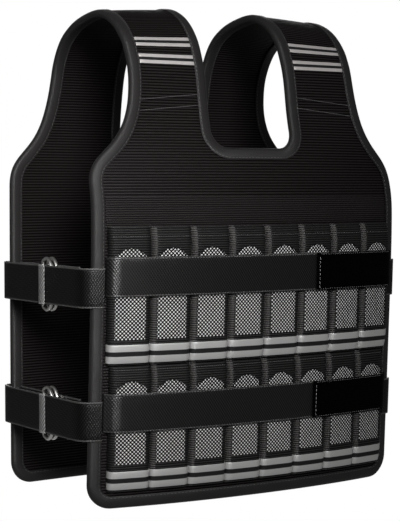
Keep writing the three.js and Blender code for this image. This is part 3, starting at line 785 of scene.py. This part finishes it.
def pocket_material(name, row):
    """The pocket cloth, with a painted highlight of light knit down the left side of each pocket but the
    first, where the light falls on it.
    """
    material = ribbed_material(name, (0.001, 0.001, 0.001), (0.015, 0.0142, 0.0138),
                               rib=2.6 * MM, hole=2.4 * MM, depth=0.35 * MM)
    tree = material.node_tree
    shader = tree.nodes["Principled BSDF"]
    cloth = shader.inputs["Base Color"].links[0].from_socket
    uv = next(n for n in tree.nodes if n.type == "UVMAP").outputs[0]
    place = components(tree, uv)
    width = 2 * row["half"] / POCKET_COUNT
    count = scaled(tree, place[0], 1 / width, POCKET_COUNT / 2)
    across = math_node(tree, "FRACT", count)
    inner = math_node(tree, "GREATER_THAN", count, 1.0)
    # Painted highlight: each pocket's left side, past the first pocket, is coloured as light knit to
    # stand in for the light that falls on it.
    lit_flank = ramp(tree, across, LIT_FLANK[1], LIT_FLANK[0])
    highlight_knit = use_group(tree, RIBS, UV=uv, Rib_Pitch=2.5 * MM, Hole_Pitch=2.0 * MM)
    flank_highlight = mix_color(tree, highlight_knit["Height"], (0.008, 0.0077, 0.0075), (0.1, 0.095, 0.093))
    highlight_mask = times(tree, lit_flank, inner)
    paint(tree, shader, mix_color(tree, highlight_mask, cloth, flank_highlight))
    return material


ARCH_STITCHES = 12 * MM  # how far over the arches the pockets' tops are sewn
CREASE_ROOM = 3 * MM  # between a pocket's side and its stitches
POCKET_STITCH = (1.7 * MM, 0.5 * MM)
for row_name, row_sizes in ROWS.items():
    pocket_cloth = pocket_material(f"pocket_cloth_{row_name}", row_sizes)
    pocket_strip(row_name, row_sizes)

for row_name, row_sizes in ROWS.items():
    sewn = []
    for k in range(POCKET_COUNT):
        reach = row_sizes["half"] / POCKET_COUNT - CREASE_ROOM
        x = pocket_middle(row_sizes, k) + np.linspace(-1, 1, 12) * reach
        s = np.full_like(x, station(row_sizes["arch"]) + ARCH_STITCHES)
        at = spaced(stacked(x, s), SEAM_PITCH)
        lift = ON_CLOTH + relief(row_sizes, at[:, 0], at[:, 1]) + POCKET_WALL + STITCH_RISE
        on = off_cloth(at[:, 0], at[:, 1], lift)
        sewn.append((on, line_way(on), cloth_normal(at[:, 0], at[:, 1])))
    stitches(f"pocket_stitches_{row_name}", sewn, "pocket_cloth", tape_thread, *POCKET_STITCH)

# The windows: a stiff mesh of light grey threads over black, stretched under each opening. The
# packs behind them fill the pockets, flat cloth pouches that show only at the pockets' mouths.
MESH_PITCH = 4.25 * MM
MESH_HOLES = (0.12, 0.5)  # where the mesh's knots turn from dark to light
PANE_MARGIN, PANE_THICK, PANE_AIR = 2.2 * MM, 0.6 * MM, 0.2 * MM


def mesh_material():
    material, tree, shader, uv = new_material("window_mesh", 0.55, specular=0.15)
    place = components(tree, uv)
    knot = times(tree, *(waves(tree, place[k], MESH_PITCH) for k in (0, 1)))
    threads = ramp(tree, knot, *MESH_HOLES)
    lint = use_group(tree, LINT)
    light = mix_color(tree, lint["Slow"], (0.5, 0.5, 0.495), (0.7, 0.7, 0.695))
    paint(tree, shader, mix_color(tree, threads, (0.0015, 0.0015, 0.0015), light))
    bump(tree, shader, threads, 0.35 * MM)
    return material


window_mesh = mesh_material()
pack_cloth = ribbed_material("pack_cloth", (0.003, 0.003, 0.003), (0.014, 0.014, 0.014))
for row_name, row_sizes in ROWS.items():
    for k in range(POCKET_COUNT):
        label = f"{row_name}_{k + 1}"
        middle = pocket_middle(row_sizes, k)
        pane_x = middle + np.linspace(-1, 1, 17) * (WINDOW_HALF + PANE_MARGIN)
        pane_low = float(station(row_sizes["sill"])) - PANE_MARGIN
        pane_high = float(station(row_sizes["arch"])) + PANE_MARGIN
        pane_x, pane_s = np.meshgrid(pane_x, np.linspace(pane_low, pane_high, 21))
        sink = ON_CLOTH + relief(row_sizes, pane_x, pane_s) - PANE_AIR
        pane = grid_piece(off_cloth(pane_x, pane_s, sink), stacked(pane_x - middle, pane_s))
        thicken(pane, PANE_THICK, -1, 0)
        finished(pane, f"window_mesh_{label}", window_mesh)
        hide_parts(f"mesh_window_{label}")
        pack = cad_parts[f"weight_pack_{label}"]
        pack.data.materials.clear()
        pack.data.materials.append(pack_cloth)

# The reflective tapes: woven silver tape with a black stripe down its middle, sewn across each
# row of pockets near the bottom, and two short lengths across the front of each shoulder.
RIBBON_HEIGHT, RIBBON_THICK, RIBBON_AIR = 20.2 * MM, 0.5 * MM, 0.1 * MM
RIBBON_RISE = {"upper": 2.2 * MM, "lower": 2.8 * MM}
SHOULDER_TAPE_HEIGHT, SHOULDER_TAPE_THICK = 11 * MM, 0.4 * MM
SHOULDER_TAPE_LIFT = 0.9 * MM  # over the cloth, clear of the strap's swelling
SHOULDER_TAPES = {"lower": 483.2 * MM, "upper": 502.6 * MM}
TAPE_COLUMNS = 24  # a pocket's share of the grid under the tape
TAPE_BLUR = 0.012  # how softly the stripe meets the silver


def reflective_material(name, stripe, silver):
    """Two silver lines on black tape; v runs from 0 to 1 across it, and stripe is the stripe's share."""
    material, tree, shader, uv = new_material(name, 0.42, specular=0.5, metallic=0.45)
    place = components(tree, uv)
    from_middle = math_node(tree, "ABSOLUTE", math_node(tree, "SUBTRACT", place[1], 0.5))
    lines = ramp(tree, from_middle, 0.5 - stripe - TAPE_BLUR, 0.5 - stripe + TAPE_BLUR)
    weave = waves(tree, place[0], 0.9 * MM, "SINE")
    rows = waves(tree, place[1], 1 / 18, "SINE")
    thread = times(tree, weave, rows)
    lint = use_group(tree, LINT)
    shade = scaled(tree, lint["Slow"], 0.6, 0.2)
    shade = plus(tree, shade, times(tree, thread, 0.12))
    light = mix_color(tree, shade, tuple(0.6 * c for c in silver), silver)
    paint(tree, shader, mix_color(tree, lines, (0.005, 0.005, 0.005), light))
    tree.links.new(scaled(tree, lines, -0.25, 0.7), shader.inputs["Roughness"])
    bump(tree, shader, plus(tree, lines, times(tree, thread, 0.3)), 0.12 * MM)
    return material


pocket_ribbon = reflective_material("pocket_ribbon", 0.37, (0.55, 0.546, 0.54))
shoulder_ribbon = reflective_material("shoulder_ribbon", 0.35, (0.62, 0.585, 0.58))


def pocket_columns(row):
    """Places across a row of pockets, closer together at the creases."""
    half = row["half"] / POCKET_COUNT
    share = np.sin(np.linspace(-math.pi / 2, math.pi / 2, TAPE_COLUMNS + 1))
    columns = [pocket_middle(row, k) + half * share[:-1] for k in range(POCKET_COUNT)]
    return np.append(np.concatenate(columns), row["half"])


for row_name, row_sizes in ROWS.items():
    hem = float(station(row_sizes["bottom"] + RIBBON_RISE[row_name]))
    tape_x, tape_s = np.meshgrid(pocket_columns(row_sizes), np.linspace(hem, hem + RIBBON_HEIGHT, 11))
    lift = ON_CLOTH + relief(row_sizes, tape_x, tape_s) + POCKET_WALL + RIBBON_AIR
    across = (tape_s - hem) / RIBBON_HEIGHT
    ribbon = grid_piece(off_cloth(tape_x, tape_s, lift), stacked(tape_x, across))
    thicken(ribbon, RIBBON_THICK, 1, 0.15 * MM)
    finished(ribbon, f"reflective_ribbon_{row_name}", pocket_ribbon)
    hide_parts(f"pocket_ribbon_{row_name}")

for side_name, side in (("left", 1), ("right", -1)):
    for place, height in SHOULDER_TAPES.items():
        low = float(station(height))
        inner, outer = NECK_HALF + EDGE + TAPE_LEG, STRAP_HALF - EDGE - TAPE_LEG
        span = np.sort(side * np.linspace(inner, outer, 17))
        tape_x, tape_s = np.meshgrid(span, np.linspace(low, low + SHOULDER_TAPE_HEIGHT, 6))
        across = (tape_s - low) / SHOULDER_TAPE_HEIGHT
        on = off_cloth(tape_x, tape_s, CLOTH_THICK / 2 + SHOULDER_TAPE_LIFT)
        tape = grid_piece(on, stacked(tape_x, across))
        thicken(tape, SHOULDER_TAPE_THICK, 1, 0.12 * MM)
        finished(tape, f"shoulder_ribbon_{side_name}_{place}", shoulder_ribbon)
        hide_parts(f"shoulder_tape_{side_name}_{place}")

# The front belts: black webbing drawn straight across each row of pockets and down over the last
# pocket's shoulder. At the wearer's left a sewn tab of finer cloth closes over each of them.
WEB_THICK, WEB_FRONT, WEB_SIDE = 2 * MM, 42 * MM, 43 * MM
BELTS = {
    "upper": {"front": 232.7 * MM, "side": 219.8 * MM},
    "lower": {"front": 85.8 * MM, "side": 75.6 * MM},
}
WEB_AIR = 0.3 * MM
OVER_POCKETS = ON_CLOTH + BULGE + 1.6 * MM + WEB_AIR
BAND_HALF = ROWS["upper"]["half"] + WEB_AIR + WEB_THICK
BEND_X = 165 * MM  # where the belts' grids grow finer, towards their bends
BEND_SHARES = (0.6, 0.9)  # where a belt bends over the last pocket, as shares of the pocket's half
BEND_EASE, BEND_END = 2.5 * MM, 6 * MM
TAB_FROM, TAB_THICK = 67 * MM, 1.4 * MM
SEWN_INSET, END_INSET = 1.3 * MM, 1.5 * MM
BAND_PITCH, BAND_STITCH = 3.4 * MM, (1.7 * MM, 0.6 * MM)
END_PITCH, END_STITCH = 4.6 * MM, (2.7 * MM, 0.7 * MM)
TAB_AIR = 0.1 * MM
TAB_ROW, END_ROW = 4 * MM, 3.6 * MM  # in from the tab's end, to its long rows and its end's own row
ROWS_LEFT = 10 * MM  # from the far ends of the long rows to the last pocket's side
BELT_ROW = 2 * MM  # from the belt's rows to the tab

band_thread = thread_material("band_thread", (0.16, 0.155, 0.155))
light_thread = thread_material("light_thread", (0.34, 0.33, 0.33))


def web_material(name, dark, light, selvedge_color, twill=3.0 * MM, edge=0.05, gloss=0.55):
    """Twill webbing; u is metres along it, and v runs from 0 to 1 across it."""
    material, tree, shader, uv = new_material(name, 0.35)
    place = components(tree, uv)
    across = times(tree, place[1], WEB_FRONT)
    slant = plus(tree, place[0], times(tree, across, 0.7))
    ridge = waves(tree, slant, twill, "SINE")
    thread = waves(tree, across, 2.2 * MM, "SINE")
    weave = scaled(tree, times(tree, ridge, thread), 0.3, times(tree, ridge, 0.3))
    from_middle = math_node(tree, "ABSOLUTE", math_node(tree, "SUBTRACT", place[1], 0.5))
    selvedge = ramp(tree, from_middle, 0.5 - edge, 0.5 - edge * 0.5)
    lint = use_group(tree, LINT)
    shade = scaled(tree, weave, 1.5, 0.3)
    shade = plus(tree, shade, times(tree, lint["Fine"], 0.35))
    plain = mix_color(tree, shade, dark, light)
    paint(tree, shader, mix_color(tree, selvedge, plain, selvedge_color))
    shine = scaled(tree, weave, 1.5 * gloss, gloss)
    tree.links.new(shine, shader.inputs["Specular IOR Level"])
    bump(tree, shader, plus(tree, weave, selvedge), 0.3 * MM)
    return material


webbing = web_material(
    "webbing", (0.0002, 0.0002, 0.0002), (0.0026, 0.0025, 0.0024), (0.02, 0.0195, 0.019),
)
tab_cloth = web_material(
    "tab_cloth", (0.0003, 0.0002, 0.0002), (0.001, 0.0008, 0.0008), (0.004, 0.0035, 0.0035),
    twill=1.4 * MM, edge=0.02, gloss=0.02,
)


def band_under(row, x):
    """How far off the cloth a front belt's underside lies, its bends eased."""
    pocket_half = row["half"] / POCKET_COUNT
    shoulder = BULGE * (1 - math.sqrt(1 - BEND_SHARES[1]**SQUARE))
    places = [row["half"] - (1 - share) * pocket_half for share in BEND_SHARES] + [BAND_HALF]
    offs = (OVER_POCKETS, OVER_POCKETS - shoulder + WEB_AIR, EDGE + WEB_AIR)
    around = np.linspace(-BEND_EASE, BEND_EASE, 11)
    near = [np.interp(np.minimum(np.abs(x) + step, BAND_HALF), places, offs) for step in around]
    ease = np.clip((BAND_HALF - np.abs(x)) / BEND_END, 0, 1)
    return np.mean(near, axis=0) * ease + np.interp(np.abs(x), places, offs) * (1 - ease)


def band(name, node, row, start, above, thick, bottom, material, rounding):
    """A belt or tab across the front from a start to the wearer's left end, above the pockets."""
    x = np.concatenate([np.linspace(start, BEND_X, 70), np.linspace(BEND_X, BAND_HALF, 26)[1:]])
    if start < 0:
        x = np.unique(np.concatenate([x[x > 0], -x[x > 0], [0]]))
    low = float(station(bottom))
    x, s = np.meshgrid(x, np.linspace(low, low + WEB_FRONT, 9))
    across = (s - low) / WEB_FRONT
    obj = grid_piece(off_cloth(x, s, band_under(row, x) + above + thick), stacked(x, across))
    thicken(obj, thick, -1, rounding)
    finished(obj, name, material)
    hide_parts(node)


for belt_name, belt in BELTS.items():
    pockets = ROWS[belt_name]
    band(f"front_band_{belt_name}", f"front_belt_{belt_name}", pockets, -BAND_HALF, 0, WEB_THICK,
         belt["front"], webbing, 0.5 * MM)
    lift = WEB_THICK + WEB_AIR
    band(f"tab_{belt_name}", f"closure_tab_{belt_name}", pockets, TAB_FROM, lift, TAB_THICK,
         belt["front"], tab_cloth, 0.4 * MM)
    low = float(station(belt["front"]))
    high = low + WEB_FRONT
    face = OVER_POCKETS + lift + TAB_THICK + TAB_AIR
    belt_face = OVER_POCKETS + WEB_THICK + STITCH_RISE
    end_x = TAB_FROM + END_ROW
    end = np.array([(end_x, low + END_INSET), (end_x, high - END_INSET)])
    stitches(f"tab_end_stitches_{belt_name}", [sewn_line(end, face, END_PITCH)], "webbing", light_thread,
             *END_STITCH)
    tab_span = (TAB_FROM + TAB_ROW, pockets["half"] - ROWS_LEFT)
    belt_span = (0.5 * pockets["half"] / POCKET_COUNT - pockets["half"], TAB_FROM - BELT_ROW)
    rows_sewn = [
        sewn_line(np.array([(x, s) for x in span]), off, BAND_PITCH)
        for span, off in ((tab_span, face), (belt_span, belt_face))
        for s in (low + SEWN_INSET, low + (WEB_FRONT - SEWN_INSET))
    ]
    stitches(f"band_stitches_{belt_name}", rows_sewn, "webbing", band_thread, *BAND_STITCH)

# The side straps and rear belts: the same webbing on edge. The rear belt runs round the back and
# the wearer's left side; at the right it is folded round two rings, and the side strap from the
# front panel is passed through them and turned back inside.
RUN_SIDE, RUN_CORNER = 208.5 * MM, 9 * MM
RING_WIRE, RING_OVER, RING_BACK, RING_DEPTH, RING_APART = (v * MM for v in (4, 7, 9.5, 22.5, 6.4))
RING_SIDES = 14  # round the wire
# Half of a ring's outline, from the middle of its straight back bar to its round front, as shares of
# its depth and half height
RING_SHAPE = [
    (0, 0), (0, 0.5), (0, 0.84), (0.14, 0.95), (0.45, 1), (0.75, 0.86), (0.94, 0.55), (1, 0.15),
]
FOLD_REACH, FOLD_SQUARE = 3.6 * MM, 0.6
TAIL_FRONT, TAIL_BACK = -58 * MM, 86 * MM
BEND_PASSES, BEND_LEAD = 9, 16 * MM
BEND_NEAR, BEND_CUT = 2 * MM, 0.35  # where a path's corner is cut, before it and as a share of it
REAR_FROM, REAR_SHARE = 4 * MM, 0.75  # the rear belt's path over the back, in from the edge
LEFT_SLACK = 3.5 * MM  # how far the rear belt stands off where nothing pulls it in
TURN = RING_APART / 2 + RING_WIRE / 2 + WEB_AIR + WEB_THICK / 2  # half a fold's width
OVER_BINDING = EDGE + WEB_AIR + WEB_THICK / 2


def eased(path, spacing=4 * MM, passes=2):
    """A path with more points, its corners cut."""
    points = np.array(path)
    fine = [points[0]]
    for a, b in zip(points, points[1:]):
        count = max(1, math.ceil(np.linalg.norm(b - a) / spacing))
        fine.extend(a + (b - a) * t for t in np.linspace(0, 1, count + 1)[1:])
    points = np.array(fine)
    for _ in range(passes):
        points[1:-1] = 0.25 * points[:-2] + 0.5 * points[1:-1] + 0.25 * points[2:]
    return points


def round_edge(side, height, front, start, run):
    """The way in plan round a panel's edge, from the panel to the run along the side."""
    s = station(height) if front else CLOTH - station(height)
    turn = 1 if front else -1
    on = [off_cloth(side * x, s, OVER_BINDING)[:2] for x in (start, HALF - BEND_NEAR)]
    corner = on[1][1] + turn * RUN_CORNER
    path = [tuple(on[0]), tuple(on[1]),
            (side * (run - BEND_NEAR), on[1][1] + turn * RUN_CORNER * BEND_CUT),
            (side * run, corner), (side * run, corner + turn * BEND_LEAD)]
    return [tuple(point) for point in eased(path, passes=BEND_PASSES)]


def fold_at(y, turn, tail):
    """The way in plan from the outer run round a fold and along the inner run to the webbing's end."""
    arc = []
    for angle in np.linspace(0, math.pi, 17):
        cosine, sine = math.cos(angle), max(0, math.sin(angle))
        aside = math.copysign(abs(cosine) ** FOLD_SQUARE, cosine)
        arc.append((-RUN_SIDE - TURN * aside, y + turn * FOLD_REACH * sine**FOLD_SQUARE))
    return arc + [(-RUN_SIDE + TURN, tail)]


def strap_piece(name, node, path_at, bottom):
    """Webbing on edge, along the way that path_at gives at each height."""
    levels = np.linspace(0, 1, 7)
    rows = [eased(path_at(bottom + WEB_SIDE * t)) for t in levels]
    fewest = min(len(row) for row in rows)
    table = []
    for t, row in zip(levels, rows):
        reach = reach_along(row)
        at = np.linspace(0, reach[-1], fewest * 2)
        plan = [np.interp(at, reach, row[:, k]) for k in (0, 1)]
        table.append(stacked(*plan, bottom + WEB_SIDE * t - REST))
    uv = stacked(at[None], levels[:, None])
    obj = grid_piece(np.array(table), uv)
    thicken(obj, WEB_THICK, 0, 0.5 * MM)
    finished(obj, name, side_web)
    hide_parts(node)


def ring(name, node, x, middle):
    """A torus primitive pulled into a D, flat at the back and round at the front."""
    half = WEB_SIDE / 2 + RING_OVER
    upper = [(RING_BACK - forward * RING_DEPTH, up * half) for forward, up in RING_SHAPE]
    loop = np.array(upper + [(y, -z) for y, z in upper[:0:-1]])
    count = len(loop)
    at = np.arange(0, count, 0.25)
    low = np.floor(at).astype(int)
    t = (at - low)[:, None]
    p = [loop[(low + k) % count] for k in (-1, 0, 1, 2)]
    line = 0.5 * (2 * p[1] + (p[2] - p[0]) * t + (2 * p[0] - 5 * p[1] + 4 * p[2] - p[3]) * t**2
                  + (3 * p[1] - p[0] - 3 * p[2] + p[3]) * t**3)
    way = line_way(line, closed=True)
    out = stacked(way[:, 1], -way[:, 0])
    deselect()
    bpy.ops.mesh.primitive_torus_add(
        major_segments=len(line), minor_segments=RING_SIDES, major_radius=1, minor_radius=0.2,
    )
    obj = bpy.context.object
    turn = np.linspace(0, 2 * math.pi, RING_SIDES + 1)[:-1]
    table = np.empty((len(line), RING_SIDES, 3))
    table[..., 0] = x + RING_WIRE / 2 * np.sin(turn)
    table[..., 1:] = line[:, None] + out[:, None] * (RING_WIRE / 2 * np.cos(turn))[None, :, None]
    table[..., 2] += middle - REST
    obj.data.vertices.foreach_set("co", table.ravel())
    obj.data.update()
    face_outwards()
    bpy.ops.object.shade_smooth()
    finished(obj, name, nickel)
    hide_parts(node)


def nickel_material():
    material, tree, shader, _ = new_material("nickel_wire", 0.16, metallic=1.0)
    lint = use_group(tree, LINT, Fibre_Scale=400.0)
    paint(tree, shader, mix_color(tree, lint["Slow"], (0.72, 0.71, 0.69), (0.86, 0.85, 0.83)))
    tree.links.new(scaled(tree, lint["Fine"], 0.12, 0.24), shader.inputs["Roughness"])
    return material


nickel = nickel_material()
side_web = web_material(
    "side_webbing", (0.0003, 0.0003, 0.0003), (0.0035, 0.0033, 0.0032), (0.06, 0.059, 0.058), gloss=0.22,
)
# The keeper over the folds at the rings is the same black webbing; its light grey is a painted highlight
# of the light falling on the folds.
keeper_web_painted_highlight = web_material(
    "keeper_web_painted_highlight", (0.05, 0.05, 0.05), (0.25, 0.248, 0.245), (0.25, 0.248, 0.245), twill=3.2 * MM,
)
KEEPER_SPAN = (-2.5 * MM, 10.5 * MM)
KEEPER_BULGE, KEEPER_THICK, KEEPER_OVER, KEEPER_AIR = (v * MM for v in (1.4, 1.1, 0.6, 0.1))
for belt_name, belt in BELTS.items():
    start, run = BAND_HALF + WEB_AIR, RUN_SIDE + TURN
    front_fold = RING_BACK - 2 * FOLD_REACH - WEB_THICK - WEB_AIR

    def side_way(height):
        return round_edge(-1, height, True, start, run) + fold_at(front_fold, 1, TAIL_FRONT)

    def rear_way(height):
        s = CLOTH - station(height)
        over_back = np.linspace(-REAR_SHARE, REAR_SHARE, 9) * HALF
        across = [tuple(off_cloth(x, s, OVER_BINDING)[:2]) for x in over_back]
        near_edge, left_run = HALF - REAR_FROM, RUN_SIDE + LEFT_SLACK
        return (fold_at(RING_BACK, -1, TAIL_BACK)[::-1]
                + round_edge(-1, height, False, near_edge, run)[::-1][:-1] + across
                + round_edge(1, height, False, near_edge, left_run)[1:]
                + round_edge(1, height, True, start, left_run)[::-1])

    strap_piece(f"side_webbing_{belt_name}", f"side_strap_{belt_name}", side_way, belt["side"])
    strap_piece(f"rear_webbing_{belt_name}", f"rear_belt_{belt_name}", rear_way, belt["side"])
    keeper_height = np.linspace(-KEEPER_OVER, WEB_SIDE + KEEPER_OVER, 15)
    keeper_y, keeper_z = np.meshgrid(np.linspace(*KEEPER_SPAN, 9), belt["side"] - REST + keeper_height)
    keeper_u = (keeper_y - KEEPER_SPAN[0]) / (KEEPER_SPAN[1] - KEEPER_SPAN[0])
    keeper_under = -RUN_SIDE - TURN - WEB_THICK / 2 - KEEPER_AIR
    keeper_x = keeper_under - KEEPER_BULGE * np.sin(math.pi * keeper_u) ** 0.6
    keeper_v = (keeper_z - keeper_z.min()) / np.ptp(keeper_z)
    keeper = grid_piece(stacked(keeper_x, keeper_y, keeper_z)[:, ::-1],
                        stacked(keeper_y, keeper_v)[:, ::-1])
    thicken(keeper, KEEPER_THICK, 1, 0.5 * MM)
    finished(keeper, f"ring_keeper_{belt_name}", keeper_web_painted_highlight)
    for place, sign in (("outer", -1), ("inner", 1)):
        ring(f"wire_ring_{belt_name}_{place}", f"ring_{belt_name}_{place}",
             -RUN_SIDE + sign * RING_APART / 2, belt["side"] + WEB_SIDE / 2)

# The stage: a pale floor well below the vest that only throws light back, a white surround, a large
# soft lamp at the left of the front, and the camera at the photo's angle.
IMAGE_HEIGHT, FOCAL_PX = 521, 1640.8
SENSOR = 36
AZIMUTH, ELEVATION = math.radians(-32.71), math.radians(2.706)
TARGET, DISTANCE = Vector((-7.07, 4.54, 262.3)) * MM, 1.9366
FLOOR_RADIUS, FLOOR_Z = 1.7, -1.1
AMBIENT = 0.09  # how much of the surround's light reaches the vest
# Each lamp's name, place, size, power, the place that it is turned to, and its cone in degrees
LAMPS = (
    ("key", (-0.7, -1.6, 0.4), 0.7, 2.7, (-0.23, -0.1, -0.15), 31),
    ("side", (-2.0, -0.6, 0.6), 0.9, 8, (0, 0, -0.2), 180),
    ("back", (1.5, 2.4, 0.3), 1.6, 26, (0, 0, -0.2), 180),
)

deselect()
bpy.ops.mesh.primitive_circle_add(
    vertices=96, radius=FLOOR_RADIUS, fill_type="NGON", location=(0, 0, FLOOR_Z),
)
floor = bpy.context.object
floor.name = "floor"
pale, _, pale_shader, _ = new_material("pale_floor", 0.9)
pale_shader.inputs["Base Color"].default_value = (0.92, 0.92, 0.92, 1)
floor.data.materials.append(pale)
floor.visible_camera = False

world = bpy.data.worlds.new("surround")
bpy.context.scene.world = world
world.use_nodes = True
surround = world.node_tree.nodes["Background"]
surround.inputs[0].default_value = (1, 1, 1, 1)
seen = world.node_tree.nodes.new("ShaderNodeLightPath")
strength = scaled(world.node_tree, seen.outputs["Is Camera Ray"], 1 - AMBIENT, AMBIENT)
world.node_tree.links.new(strength, surround.inputs[1])

for label, place, size, power, aim, cone in LAMPS:
    light = bpy.data.lights.new(label, "AREA")
    light.size = size
    light.energy = power
    light.spread = math.radians(cone)
    lamp = bpy.data.objects.new(label, light)
    lamp.location = place
    lamp.rotation_euler = (Vector(aim) - Vector(place)).to_track_quat("-Z", "Y").to_euler()
    bpy.context.collection.objects.link(lamp)

ahead = Vector((-math.sin(AZIMUTH) * math.cos(ELEVATION), math.cos(AZIMUTH) * math.cos(ELEVATION),
                -math.sin(ELEVATION)))
right = Vector((math.cos(AZIMUTH), math.sin(AZIMUTH), 0))
above = right.cross(ahead)
camera_data = bpy.data.cameras.new("camera")
camera_data.sensor_fit = "VERTICAL"
camera_data.sensor_height = SENSOR
camera_data.lens = SENSOR * FOCAL_PX / IMAGE_HEIGHT
camera = bpy.data.objects.new("camera", camera_data)
turned = Matrix((right, above, -ahead)).transposed().to_4x4()
camera.matrix_world = Matrix.Translation(TARGET - Vector((0, 0, REST)) - ahead * DISTANCE) @ turned
bpy.context.collection.objects.link(camera)
bpy.context.scene.camera = camera
bpy.context.scene.view_settings.view_transform = "Standard"
